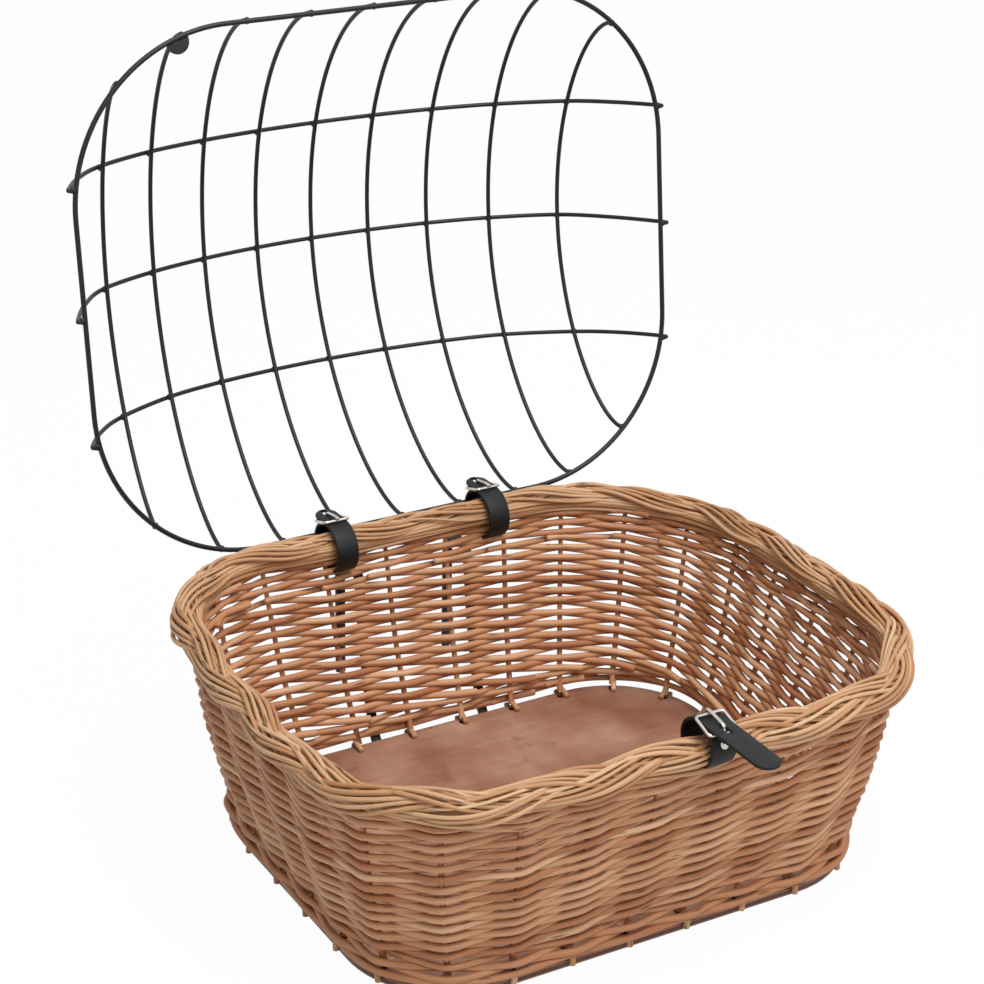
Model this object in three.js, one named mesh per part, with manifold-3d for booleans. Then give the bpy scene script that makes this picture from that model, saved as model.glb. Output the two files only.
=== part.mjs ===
// Willow bicycle basket: a plywood base, woven walls on leaning stakes, a plaited border,
// a domed wire lid on leather straps and two steel hooks behind the back wall.
// Millimetres, +Z up, +X along the long side, the front faces -Y.
// The origin is the centre of the base board's underside.
import * as THREE from 'three';
import { mergeVertices } from 'three/addons/utils/BufferGeometryUtils.js';
import Module from 'manifold-3d';

// Clearance between pieces that touch
const GAP = 0.3;

// Base board
const BOARD_LENGTH = 416;
const BOARD_WIDTH = 332;
const BOARD_CORNER = 82;
const BOARD_THICKNESS = 10;
const BOARD_EDGE_ROUND = 1.5;

// Stakes and plaited border: the border's sizes are those of its middle line
const STAKE_COUNT = 28;
const STAKE_DIAMETER = 5;
const FOOT_INSET = 8;
const FOOT_DEPTH = 6;
const BORDER_LENGTH = 470;
const BORDER_DEPTH = 404;
const BORDER_CORNER = 120;
const BORDER_MIDDLE_HEIGHT = 172;
const BORDER_WIDTH = 32;
const BORDER_HEIGHT = 34;
const PLAIT_STRANDS = 3;
const PLAIT_WAVES = 8;
const PLAIT_SWING = 12.5;
const PLAIT_DEPTH = 2.6;
const PLAIT_TILT = 0.25;
const STRAND_WIDTH = 18;
const STRAND_THICKNESS = 5;
const CORE_SINK = 2.6;
const WALL_BELLY = 1.4;
const WALL_BENDS = [0, 0.2, 0.5, 1];

// Woven rows of willow rods
const ROW_COUNT = 27;
const FIRST_ROW_RISE = 4.5;
const ROW_TO_BORDER = 7.5;
const ROW_PARTING = 0.5;
const BEND_ROOM = 0.25;

// Wire lid: a flat rim with a dome of cross wires and long wires
const LID_LENGTH = 510;
const LID_DEPTH = 410;
const LID_CORNER = 131;
const LID_RIM_DIAMETER = 4;
const LID_WIRE_DIAMETER = 3.5;
const LID_DOME_HEIGHT = 135;
const CROSS_WIRES = 9;
const CROSS_WIRE_SPACING = 53.3;
const CROSS_WIRE_LEAN = 0.04;
const LONG_WIRES = 3;
const LONG_WIRE_SPACING = 98;
const LONG_WIRE_TIP = 6;
const LID_OPEN_ANGLE = 97;
const LID_TAB_RADIUS = 9;
const LID_TAB_THICKNESS = 3;
const LID_TAB_OFFSET = 165;
const LID_DOME_SIDE_CURVE = 0.525;
const LID_DOME_END_CURVE = 1.25;

// Leather straps
const LEATHER = 2.5;
const LOOP_ROOM = 1.2;
const HINGE_STRAP_WIDTH = 18;
const HINGE_STRAP_OFFSET = 69;
const HINGE_TAIL = 26;
const HINGE_WIRE_ROOM = 1;
const HINGE_WIRE_RISE = 5;
const HINGE_LOOP_RISE = 0.5;
const FRONT_STRAP_WIDTH = 20;
const FRONT_STRAP_OFFSET = 9;
const FRONT_STRAP_RISE = 7;
const FRONT_TAIL = 76;
const RIVET_DIAMETER = 7;
const RIVET_HEIGHT = 1.6;
const RIVET_CROWN = 0.8;

// Nickel buckles
const BUCKLE_WIRE = 2.5;
const BUCKLE_REACH = 18;
const BUCKLE_HEEL = 17;
const TONGUE_WIDTH = 2.6;
const TONGUE_THICKNESS = 1.8;
const TONGUE_SLOT = 11;

// Steel hooks
const HOOK_OFFSET = 50;
const HOOK_WIDTH = 8;
const HOOK_THICKNESS = 4;
const HOOK_THROAT = 30;
const HOOK_TO_BORDER = 7;
const HOOK_CHAMFER = 7;
const HOOK_LEG_END = 40;
const HOOK_FOOT = 1.5;
const HOOK_FOOT_BEND = 2;
const SCREW_DIAMETER = 4;
const SCREW_LENGTH = 16;
const SCREW_HEAD_DIAMETER = 7;
const SCREW_HEAD_HEIGHT = 2.4;
const SCREW_HEAD_ROUND = 0.8;

// Sides and steps of the round forms
const ROD_SIDES = 4;
const WIRE_SIDES = 6;
const BORDER_SIDES = 12;
const PLAIT_STEPS = 10;
const HOLE_SIDES = 8;
const ROUND_SIDES = 12;
const RIM_STEPS = 72;
const LOOP_STEPS = 16;
const BUCKLE_SIDES = 5;
const BUCKLE_STEPS = 14;
const CORNER_STEPS = 6;

const wasm = await Module();
wasm.setup();

const willow = new THREE.MeshStandardMaterial({ color: 0xb98a5f, roughness: 0.6 });
const paleWillow = new THREE.MeshStandardMaterial({ color: 0xc79a66, roughness: 0.6 });
const plywood = new THREE.MeshStandardMaterial({ color: 0x9c6b4f, roughness: 0.7 });
const blackSteel = new THREE.MeshStandardMaterial({ color: 0x1c1d1f, roughness: 0.45, metalness: 0.4 });
const blackLeather = new THREE.MeshStandardMaterial({ color: 0x232427, roughness: 0.65 });
const nickel = new THREE.MeshStandardMaterial({ color: 0xc9c9c6, roughness: 0.2, metalness: 1 });
const zincSteel = new THREE.MeshStandardMaterial({ color: 0x8d8f92, roughness: 0.35, metalness: 1 });

// Solids from lofted sections

/** Six times the signed volume of an indexed mesh: negative when its faces point inwards. */
function signedVolume(points, triangles) {
  let total = 0;
  for (const [a, b, c] of triangles) {
    total += points[a].dot(new THREE.Vector3().crossVectors(points[b], points[c]));
  }
  return total;
}

/** A closed solid through rings of points: an endless loop, or a length with flat ends. */
function loft(rings, endless) {
  const sides = rings[0].length;
  const points = rings.flat();
  const triangles = [];
  const spans = endless ? rings.length : rings.length - 1;
  for (let span = 0; span < spans; span += 1) {
    const near = span * sides;
    const far = ((span + 1) % rings.length) * sides;
    for (let side = 0; side < sides; side += 1) {
      const next = (side + 1) % sides;
      triangles.push([near + side, near + next, far + side]);
      triangles.push([near + next, far + next, far + side]);
    }
  }
  if (!endless) {
    const last = (rings.length - 1) * sides;
    for (let side = 1; side < sides - 1; side += 1) {
      triangles.push([0, side + 1, side]);
      triangles.push([last, last + side, last + side + 1]);
    }
  }
  if (signedVolume(points, triangles) < 0) {
    triangles.forEach((triangle) => triangle.reverse());
  }
  const geometry = new THREE.BufferGeometry();
  geometry.setFromPoints(points);
  geometry.setIndex(triangles.flat());
  return geometry;
}

/** Sections across a line of points, given as offsets to the side and upwards. */
function sectionsAlong(line, section, endless, upwards = new THREE.Vector3(0, 0, 1)) {
  const count = line.length;
  return line.map((point, index) => {
    const before = line[endless ? (index + count - 1) % count : Math.max(index - 1, 0)];
    const after = line[endless ? (index + 1) % count : Math.min(index + 1, count - 1)];
    const along = new THREE.Vector3().subVectors(after, before).normalize();
    const sideways = new THREE.Vector3().crossVectors(along, upwards).normalize();
    const lift = new THREE.Vector3().crossVectors(sideways, along);
    const place = ([side, up]) => point.clone().addScaledVector(sideways, side).addScaledVector(lift, up);
    return section.map(place);
  });
}

/** The corners of a polygon that stands for a round or oval section. */
function ovalSection(width, height, sides) {
  return Array.from({ length: sides }, (_, side) => {
    const turn = (side / sides) * 2 * Math.PI;
    return [Math.cos(turn) * width / 2, Math.sin(turn) * height / 2];
  });
}

/** A rectangle's corners as a section. */
function flatSection(width, height) {
  const side = width / 2;
  const up = height / 2;
  return [[-side, -up], [side, -up], [side, up], [-side, up]];
}

/** A round rod along a line of points. */
function rod(line, diameter, sides, endless = false, upwards = undefined) {
  return loft(sectionsAlong(line, ovalSection(diameter, diameter, sides), endless, upwards), endless);
}

/** A flat plate with an outline, square edges and its underside at Z 0. */
function plate(outline, thickness, steps) {
  return new THREE.ExtrudeGeometry(outline, { depth: thickness, bevelEnabled: false, curveSegments: steps });
}

// Joining and cutting

function solidOf(geometry) {
  const bare = geometry.index ? geometry.toNonIndexed() : geometry.clone();
  bare.deleteAttribute('normal');
  bare.deleteAttribute('uv');
  const merged = mergeVertices(bare, 1e-4);
  const mesh = new wasm.Mesh({
    numProp: 3,
    vertProperties: new Float32Array(merged.attributes.position.array),
    triVerts: new Uint32Array(merged.index.array),
  });
  return new wasm.Manifold(mesh);
}

function geometryOf(solid) {
  const mesh = solid.getMesh();
  const geometry = new THREE.BufferGeometry();
  geometry.setAttribute('position', new THREE.BufferAttribute(new Float32Array(mesh.vertProperties), 3));
  geometry.setIndex(new THREE.BufferAttribute(new Uint32Array(mesh.triVerts), 1));
  return geometry;
}

function join(geometry, others) {
  return geometryOf(others.reduce((whole, other) => whole.add(solidOf(other)), solidOf(geometry)));
}

function cut(geometry, others) {
  return geometryOf(others.reduce((rest, other) => rest.subtract(solidOf(other)), solidOf(geometry)));
}

// Outlines

/** A rounded rectangle that starts at the middle of its back edge and runs towards +X. */
function roundedRectangle(length, width, corner) {
  const x = length / 2 - corner;
  const y = width / 2 - corner;
  const outline = new THREE.Shape();
  outline.moveTo(0, width / 2);
  outline.lineTo(x, width / 2);
  outline.absarc(x, y, corner, Math.PI / 2, 0, true);
  outline.absarc(x, -y, corner, 0, -Math.PI / 2, true);
  outline.absarc(-x, -y, corner, -Math.PI / 2, -Math.PI, true);
  outline.absarc(-x, y, corner, Math.PI, Math.PI / 2, true);
  outline.lineTo(0, width / 2);
  return outline;
}

const footOutline = roundedRectangle(
  BOARD_LENGTH - 2 * FOOT_INSET,
  BOARD_WIDTH - 2 * FOOT_INSET,
  BOARD_CORNER - FOOT_INSET,
);
const borderOutline = roundedRectangle(BORDER_LENGTH, BORDER_DEPTH, BORDER_CORNER);

// Heights that follow from the board and the border
const borderBottom = BORDER_MIDDLE_HEIGHT - BORDER_HEIGHT / 2;
const firstRowHeight = BOARD_THICKNESS + FIRST_ROW_RISE;
const rowPitch = (borderBottom - ROW_TO_BORDER - firstRowHeight) / (ROW_COUNT - 1);
const rodDiameter = rowPitch - ROW_PARTING;
const hookTop = borderBottom - HOOK_TO_BORDER;

// The wall's middle surface: stakes lean out from the board to the border with a slight belly
const FOOT_HEIGHT = BOARD_THICKNESS - FOOT_DEPTH;
const wallSpread = (rise) => 1 - (1 - rise) ** WALL_BELLY;

/** How far the wall has spread at a height, as a broken line through its bends. */
function spreadAt(height) {
  const rise = (height - FOOT_HEIGHT) / (BORDER_MIDDLE_HEIGHT - FOOT_HEIGHT);
  const bend = Math.max(1, WALL_BENDS.findIndex((limit) => limit >= Math.min(rise, 1)));
  const low = WALL_BENDS[bend - 1];
  const high = WALL_BENDS[bend];
  return THREE.MathUtils.mapLinear(rise, low, high, wallSpread(low), wallSpread(high));
}

/** A point of the wall's middle surface, at a share of the way round and a height. */
function wallPoint(share, height) {
  const foot = footOutline.getPoint(share);
  const top = borderOutline.getPoint(share);
  const plan = foot.lerp(top, spreadAt(height));
  return new THREE.Vector3(plan.x, plan.y, height);
}

const stakeShare = (stake) => (stake + 0.5) / STAKE_COUNT;

function stakeLine(stake) {
  return WALL_BENDS.map((rise) => {
    const height = THREE.MathUtils.lerp(FOOT_HEIGHT, BORDER_MIDDLE_HEIGHT, rise);
    return wallPoint(stakeShare(stake), height);
  });
}

/** The outward direction of the wall at a stake, level with the ground. */
function wallOutward(stake, height) {
  const before = wallPoint(stakeShare((stake + STAKE_COUNT - 1) % STAKE_COUNT), height);
  const after = wallPoint(stakeShare((stake + 1) % STAKE_COUNT), height);
  const along = after.sub(before);
  return new THREE.Vector3(-along.y, along.x, 0).normalize();
}

/** How far a rod's middle lies from a stake's middle, measured level, where the two touch. */
function rodOffset(stake, height) {
  const step = 1;
  const rise = wallPoint(stakeShare(stake), height + step).sub(wallPoint(stakeShare(stake), height - step));
  const lean = Math.hypot(rise.x, rise.y) / rise.z;
  return (STAKE_DIAMETER / 2 + rodDiameter / 2 + GAP + BEND_ROOM) * Math.hypot(1, lean);
}

// Basket body

const plaitCrest = PLAIT_DEPTH + STRAND_THICKNESS / 2;
const plaitSide = BORDER_WIDTH / 2 - plaitCrest;
const plaitRise = BORDER_HEIGHT / 2 - plaitCrest;
const plaitGirth = Math.PI * (plaitSide + plaitRise);

/** How far the plait stands off its middle surface: strands swing across it, over and under. */
function plaitLift(share, turn) {
  const rate = 2 * Math.PI * PLAIT_WAVES;
  const bentStakes = THREE.MathUtils.lerp(-CORE_SINK, plaitCrest, (1 - Math.cos(turn)) / 2);
  const lifts = Array.from({ length: PLAIT_STRANDS }, (_, strand) => {
    const phase = rate * share + strand / PLAIT_STRANDS * 2 * Math.PI;
    const slope = PLAIT_SWING * rate / borderOutline.getLength() * Math.cos(phase);
    const across = turn / (2 * Math.PI) * plaitGirth - PLAIT_SWING * Math.sin(phase);
    const crown = 1 - (2 * across / Math.hypot(1, slope) / STRAND_WIDTH) ** 2;
    const rise = PLAIT_DEPTH * Math.sin(2 * phase) + STRAND_THICKNESS / 2 * Math.sqrt(Math.max(crown, 0));
    return crown > 0 ? rise : -CORE_SINK;
  });
  return Math.max(bentStakes, ...lifts);
}

/** The border's section at a share of the way round: the bent stakes fill it below the strands. */
function plaitSection(share) {
  return Array.from({ length: BORDER_SIDES }, (_, side) => {
    const turn = (2 * side / BORDER_SIDES - 1) * Math.PI;
    const lift = plaitLift(share, turn);
    const around = turn - PLAIT_TILT;
    return [(plaitSide + lift) * Math.sin(around), (plaitRise + lift) * Math.cos(around)];
  });
}

/** The border, plaited from three flat strands of rods. */
function plaitedBorder() {
  const steps = PLAIT_WAVES * PLAIT_STEPS;
  const rings = Array.from({ length: steps }, (_, step) => {
    const plan = borderOutline.getPointAt(step / steps);
    const along = borderOutline.getTangentAt(step / steps);
    return plaitSection(step / steps).map(([inwards, up]) => new THREE.Vector3(
      plan.x + along.y * inwards,
      plan.y - along.x * inwards,
      BORDER_MIDDLE_HEIGHT + up,
    ));
  });
  return loft(rings, true);
}

function stakesAndBorder() {
  const stakes = Array.from(
    { length: STAKE_COUNT },
    (_, stake) => rod(stakeLine(stake), STAKE_DIAMETER, ROD_SIDES),
  );
  return join(plaitedBorder(), stakes);
}

/** The room a stake's foot needs in the board. */
function footHole(stake) {
  const [foot, bend] = stakeLine(stake);
  const down = new THREE.Vector3().subVectors(foot, bend).normalize();
  const bottom = foot.clone().addScaledVector(down, GAP);
  return rod([bottom, bend], STAKE_DIAMETER + 2 * GAP, ROD_SIDES);
}

/** The foot of a hook stands against the board's back edge, where its screw goes in. */
const screwHeight = BOARD_THICKNESS / 2;

function screwHole(side) {
  const length = SCREW_LENGTH + GAP;
  const radius = SCREW_DIAMETER / 2 + GAP;
  const hole = new THREE.CylinderGeometry(radius, radius, 2 * length, HOLE_SIDES);
  hole.translate(side * HOOK_OFFSET, BOARD_WIDTH / 2, screwHeight);
  return hole;
}

function baseBoard() {
  const outline = roundedRectangle(
    BOARD_LENGTH - 2 * BOARD_EDGE_ROUND,
    BOARD_WIDTH - 2 * BOARD_EDGE_ROUND,
    BOARD_CORNER - BOARD_EDGE_ROUND,
  );
  const board = new THREE.ExtrudeGeometry(outline, {
    depth: BOARD_THICKNESS - 2 * BOARD_EDGE_ROUND,
    bevelSize: BOARD_EDGE_ROUND,
    bevelThickness: BOARD_EDGE_ROUND,
    bevelSegments: 1,
    curveSegments: CORNER_STEPS,
  });
  board.translate(0, 0, BOARD_EDGE_ROUND);
  const holes = Array.from({ length: STAKE_COUNT }, (_, stake) => footHole(stake));
  return cut(board, [...holes, screwHole(-1), screwHole(1)]);
}

/** One row of the weave: a rod that passes in front of one stake and behind the next. */
function weaveRow(row) {
  const height = firstRowHeight + row * rowPitch;
  const line = Array.from({ length: STAKE_COUNT }, (_, stake) => {
    const face = (stake + row) % 2 === 0 ? 1 : -1;
    const outward = wallOutward(stake, height);
    return wallPoint(stakeShare(stake), height).addScaledVector(outward, face * rodOffset(stake, height));
  });
  return rod(line, rodDiameter, ROD_SIDES, true);
}

// Wire lid, in its own frame: hinge line along X, the lid runs towards -Y and its dome towards +Z

const lidOutline = roundedRectangle(LID_LENGTH, LID_DEPTH, LID_CORNER);
const wireOnRim = LID_RIM_DIAMETER / 2 + LID_WIRE_DIAMETER / 2 + GAP;
const wireOnWire = LID_WIRE_DIAMETER + GAP;

function lidRimWire() {
  const line = Array.from({ length: RIM_STEPS }, (_, index) => {
    const plan = lidOutline.getPoint(index / RIM_STEPS);
    return new THREE.Vector3(plan.x, plan.y - LID_DEPTH / 2, 0);
  });
  return rod(line, LID_RIM_DIAMETER, WIRE_SIDES, true);
}

/** How far the rim's front and back edges draw in towards its middle at a place along X. */
function rimInset(x) {
  const reach = Math.max(0, Math.abs(x) - (LID_LENGTH / 2 - LID_CORNER));
  return LID_CORNER - Math.sqrt(LID_CORNER ** 2 - reach ** 2);
}

const crossWirePlace = (wire) => (wire - (CROSS_WIRES - 1) / 2) * CROSS_WIRE_SPACING;
const longWirePlace = (wire) => -LID_DEPTH / 2 + ((LONG_WIRES - 1) / 2 - wire) * LONG_WIRE_SPACING;

/** A point of a cross wire; turn runs from 0 at the hinge edge to pi at the front edge. */
function crossWirePoint(wire, turn) {
  const place = crossWirePlace(wire);
  const half = LID_DEPTH / 2 - rimInset(place);
  const x = place * (1 - CROSS_WIRE_LEAN * Math.sin(turn));
  const crown = LID_DOME_HEIGHT * (1 - (2 * x / LID_LENGTH) ** 2) ** LID_DOME_SIDE_CURVE;
  const y = -LID_DEPTH / 2 + half * Math.cos(turn);
  return new THREE.Vector3(x, y, wireOnRim + crown * Math.sin(turn) ** LID_DOME_END_CURVE);
}

/** The turn at which a cross wire passes under a long wire. */
function crossingTurn(wire, longWire) {
  const half = LID_DEPTH / 2 - rimInset(crossWirePlace(wire));
  return Math.acos((longWirePlace(longWire) + LID_DEPTH / 2) / half);
}

function lidCrossWire(wire) {
  const turns = [0];
  for (let longWire = 0; longWire < LONG_WIRES; longWire += 1) {
    const here = crossingTurn(wire, longWire);
    turns.push((turns.at(-1) * 2 + here) / 3, (turns.at(-1) + here * 2) / 3, here);
  }
  turns.push((turns.at(-1) * 2 + Math.PI) / 3, (turns.at(-1) + Math.PI * 2) / 3, Math.PI);
  const line = turns.map((turn) => crossWirePoint(wire, turn));
  return rod(line, LID_WIRE_DIAMETER, WIRE_SIDES, false, new THREE.Vector3(1, 0, 0));
}

/** Where a long wire lies on a cross wire: one wire's thickness outside it, square to the dome. */
function crossing(wire, longWire) {
  const step = 0.02;
  const turn = crossingTurn(wire, longWire);
  const here = crossWirePoint(wire, turn);
  const along = crossWirePoint(wire, turn + step).sub(crossWirePoint(wire, turn - step)).normalize();
  const left = crossWirePoint(Math.max(wire - 1, 0), crossingTurn(Math.max(wire - 1, 0), longWire));
  const last = Math.min(wire + 1, CROSS_WIRES - 1);
  const right = crossWirePoint(last, crossingTurn(last, longWire));
  const across = right.sub(left).normalize();
  const outward = new THREE.Vector3().crossVectors(across, along).normalize();
  return here.addScaledVector(outward, Math.sign(outward.z) * wireOnWire);
}

function lidLongWire(longWire) {
  const y = longWirePlace(longWire);
  const straight = LID_DEPTH / 2 - LID_CORNER;
  const beyond = Math.max(0, Math.abs(y + LID_DEPTH / 2) - straight);
  const side = LID_LENGTH / 2 - LID_CORNER + Math.sqrt(LID_CORNER ** 2 - beyond ** 2) + wireOnRim;
  const crossings = Array.from({ length: CROSS_WIRES }, (_, wire) => crossing(wire, longWire));
  const shoulder = (end, nearest) => {
    const bulge = new THREE.Vector3(end * wireOnRim, 0, wireOnRim);
    return [
      new THREE.Vector3(end * side, y, -LONG_WIRE_TIP),
      new THREE.Vector3(end * side, y, wireOnRim),
      new THREE.Vector3(end * side, y, 0).lerp(nearest, 0.5).add(bulge),
    ];
  };
  const line = [
    ...shoulder(-1, crossings[0]),
    ...crossings,
    ...shoulder(1, crossings.at(-1)).reverse(),
  ];
  return rod(line, LID_WIRE_DIAMETER, WIRE_SIDES, false, new THREE.Vector3(0, 1, 0));
}

/** A half-round stop on the inside of the rim, near its front left corner. */
function lidTab() {
  const outline = new THREE.Shape();
  outline.absarc(0, 0, LID_TAB_RADIUS, 0, Math.PI, false);
  outline.closePath();
  const tab = plate(outline, LID_TAB_THICKNESS, CORNER_STEPS);
  const inset = rimInset(LID_TAB_OFFSET);
  const reach = Math.max(0, LID_TAB_OFFSET - (LID_LENGTH / 2 - LID_CORNER));
  tab.translate(0, LID_RIM_DIAMETER / 2 + 3 * GAP, -LID_TAB_THICKNESS / 2);
  tab.rotateZ(-Math.asin(reach / LID_CORNER));
  tab.translate(-LID_TAB_OFFSET, inset - LID_DEPTH, 0);
  return tab;
}

// Leather straps and buckles, in a frame whose X is across the strap and whose Y points along the tail

/** An oval loop of leather, with a tail that leaves its top and a slot for the buckle's tongue. */
function buckledStrap({ width, inner, tail, centre }) {
  const outline = new THREE.Shape();
  outline.absellipse(0, 0, inner.y + LEATHER, inner.z + LEATHER, 0, 2 * Math.PI, false, 0);
  const opening = new THREE.Path();
  opening.absellipse(0, 0, inner.y, inner.z, 0, 2 * Math.PI, true, 0);
  outline.holes.push(opening);
  const loop = plate(outline, width, LOOP_STEPS);
  loop.translate(0, 0, -width / 2);
  loop.rotateX(Math.PI / 2);
  loop.rotateZ(Math.PI / 2);
  const plan = new THREE.Shape();
  plan.moveTo(-width / 2, 0);
  plan.lineTo(-width / 2, tail - width / 2);
  plan.absarc(0, tail - width / 2, width / 2, Math.PI, 0, true);
  plan.lineTo(width / 2, 0);
  plan.closePath();
  const slot = new THREE.Path();
  const slotHalf = TONGUE_WIDTH / 2 + 2 * GAP;
  const slotStart = BUCKLE_HEEL - TONGUE_THICKNESS - 3 * GAP;
  slot.moveTo(-slotHalf, slotStart);
  slot.lineTo(slotHalf, slotStart);
  slot.lineTo(slotHalf, slotStart + TONGUE_SLOT);
  slot.lineTo(-slotHalf, slotStart + TONGUE_SLOT);
  slot.closePath();
  plan.holes.push(slot);
  const flap = plate(plan, LEATHER, CORNER_STEPS);
  flap.translate(0, 0, inner.z);
  return join(loop, [flap]).translate(0, centre.y, centre.z);
}

/** The buckle's heel bar lies under the tail and its front bar lies over it. */
const barAbove = LEATHER + GAP + BUCKLE_WIRE / 2;
const heelBelow = -GAP - BUCKLE_WIRE / 2;

function buckleFrame({ width, inner, centre }) {
  const side = width / 2 + GAP + BUCKLE_WIRE / 2;
  const slope = Math.atan2(barAbove - heelBelow, BUCKLE_REACH);
  const corner = BUCKLE_WIRE;
  const reach = Math.hypot(barAbove - heelBelow, BUCKLE_REACH);
  const outline = roundedRectangle(2 * side, reach, corner);
  const line = Array.from({ length: BUCKLE_STEPS }, (_, index) => {
    const plan = outline.getPoint(index / BUCKLE_STEPS);
    return new THREE.Vector3(plan.x, plan.y, 0);
  });
  const frame = rod(line, BUCKLE_WIRE, BUCKLE_SIDES, true);
  frame.rotateX(-slope);
  frame.translate(0, BUCKLE_HEEL - BUCKLE_REACH / 2, inner.z + (barAbove + heelBelow) / 2);
  return frame.translate(0, centre.y, centre.z);
}

/** The tongue rises from the heel bar through the tail's slot and lies on the front bar. */
function buckleTongue({ inner, centre }) {
  const half = TONGUE_THICKNESS / 2;
  const root = inner.z + heelBelow + BUCKLE_WIRE / 2 + GAP;
  const shoulder = inner.z + LEATHER + GAP + half;
  const front = inner.z + barAbove + BUCKLE_WIRE / 2 + GAP + half;
  const tip = BUCKLE_HEEL - BUCKLE_REACH - BUCKLE_WIRE;
  const line = [
    new THREE.Vector3(0, BUCKLE_HEEL, root),
    new THREE.Vector3(0, BUCKLE_HEEL, shoulder),
    new THREE.Vector3(0, BUCKLE_HEEL - BUCKLE_REACH + BUCKLE_WIRE, front),
    new THREE.Vector3(0, tip, front),
  ];
  const upwards = new THREE.Vector3(1, 0, 0);
  const sections = sectionsAlong(line, flatSection(TONGUE_THICKNESS, TONGUE_WIDTH), false, upwards);
  return loft(sections, false).translate(0, centre.y, centre.z);
}

// The loops clear the border inside them, and at the back the lid's rim wire too
const hingeWireOffset = BORDER_WIDTH / 2 + LID_RIM_DIAMETER / 2 + HINGE_WIRE_ROOM;
const hingeStrap = {
  width: HINGE_STRAP_WIDTH,
  inner: {
    y: (BORDER_WIDTH + LID_RIM_DIAMETER + HINGE_WIRE_ROOM) / 2 + LOOP_ROOM,
    z: BORDER_HEIGHT / 2 + LOOP_ROOM,
  },
  tail: HINGE_TAIL,
  centre: { y: (hingeWireOffset + LID_RIM_DIAMETER / 2 - BORDER_WIDTH / 2) / 2, z: HINGE_LOOP_RISE },
};
const frontStrap = {
  width: FRONT_STRAP_WIDTH,
  inner: { y: BORDER_WIDTH / 2 + LOOP_ROOM, z: BORDER_HEIGHT / 2 + FRONT_STRAP_RISE / 2 + GAP },
  tail: FRONT_TAIL,
  centre: { y: 0, z: FRONT_STRAP_RISE / 2 },
};

/** A domed rivet on the strap's outer face, below the buckle. */
function strapRivet({ inner, centre }) {
  const radius = RIVET_DIAMETER / 2;
  const profile = [
    new THREE.Vector2(0, 0),
    new THREE.Vector2(radius, 0),
    new THREE.Vector2(radius * RIVET_CROWN, RIVET_HEIGHT * RIVET_CROWN),
    new THREE.Vector2(0, RIVET_HEIGHT),
  ];
  const rivet = new THREE.LatheGeometry(profile, ROUND_SIDES);
  rivet.translate(0, inner.y + LEATHER + GAP, 0);
  return rivet.translate(0, centre.y, centre.z);
}

// Hooks

/** How far the weave stands out from the wall's middle beside a hook. */
function weaveStandOff(height) {
  const stakes = Array.from({ length: STAKE_COUNT }, (_, stake) => wallPoint(stakeShare(stake), height));
  const back = stakes.filter((point) => point.y > 0);
  const inner = Math.max(...back.filter((point) => point.x < HOOK_OFFSET).map((point) => point.x));
  const outer = Math.min(...back.filter((point) => point.x > HOOK_OFFSET).map((point) => point.x));
  const middle = (inner + outer) / 2;
  const furthest = Math.abs(HOOK_OFFSET - middle) + HOOK_WIDTH / 2;
  const share = furthest / ((outer - inner) / 2);
  return share * rodOffset(0, height) + rodDiameter / 2;
}

/** The bar's middle line at a height, behind the weave and never inside the board's edge. */
function hookLine(height) {
  const wall = wallPoint(0, height).y + weaveStandOff(height);
  return Math.max(wall, BOARD_WIDTH / 2) + GAP + HOOK_THICKNESS / 2 + BEND_ROOM;
}

const hookPitch = HOOK_THROAT + HOOK_THICKNESS;
const hookNeck = hookTop - HOOK_THICKNESS / 2 - HOOK_CHAMFER;

function hook(side) {
  const heights = [BOARD_THICKNESS + HOOK_FOOT_BEND, ...WALL_BENDS.slice(1, -1).map(
    (rise) => THREE.MathUtils.lerp(FOOT_HEIGHT, BORDER_MIDDLE_HEIGHT, rise),
  ), hookNeck];
  const footY = BOARD_WIDTH / 2 + GAP + HOOK_THICKNESS / 2;
  const near = hookLine(hookNeck);
  const crown = hookTop - HOOK_THICKNESS / 2;
  const x = side * HOOK_OFFSET;
  const line = [
    new THREE.Vector3(x, footY, HOOK_FOOT),
    ...heights.map((height) => new THREE.Vector3(x, hookLine(height), height)),
    new THREE.Vector3(x, near + HOOK_CHAMFER, crown),
    new THREE.Vector3(x, near + hookPitch - HOOK_CHAMFER, crown),
    new THREE.Vector3(x, near + hookPitch, hookNeck),
    new THREE.Vector3(x, near + hookPitch, HOOK_LEG_END),
  ];
  const upwards = new THREE.Vector3(1, 0, 0);
  const bar = loft(sectionsAlong(line, flatSection(HOOK_THICKNESS, HOOK_WIDTH), false, upwards), false);
  return cut(bar, [screwHole(side)]);
}

/** A pan-head screw through the hook's foot into the board's edge. */
function hookScrew(side) {
  const head = BOARD_WIDTH / 2 + GAP + HOOK_THICKNESS + 2 * GAP;
  const profile = [
    new THREE.Vector2(0, -SCREW_LENGTH),
    new THREE.Vector2(SCREW_DIAMETER / 2, -SCREW_LENGTH + SCREW_DIAMETER / 2),
    new THREE.Vector2(SCREW_DIAMETER / 2, 0),
    new THREE.Vector2(SCREW_HEAD_DIAMETER / 2, 0),
    new THREE.Vector2(SCREW_HEAD_DIAMETER / 2 - SCREW_HEAD_ROUND, SCREW_HEAD_HEIGHT),
    new THREE.Vector2(0, SCREW_HEAD_HEIGHT),
  ];
  const screw = new THREE.LatheGeometry(profile, ROUND_SIDES);
  return screw.translate(side * HOOK_OFFSET, head, screwHeight);
}

// Assembly

const basket = new THREE.Group();

function place(parent, name, geometry, material) {
  const mesh = new THREE.Mesh(geometry, material);
  mesh.name = name;
  parent.add(mesh);
}

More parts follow.
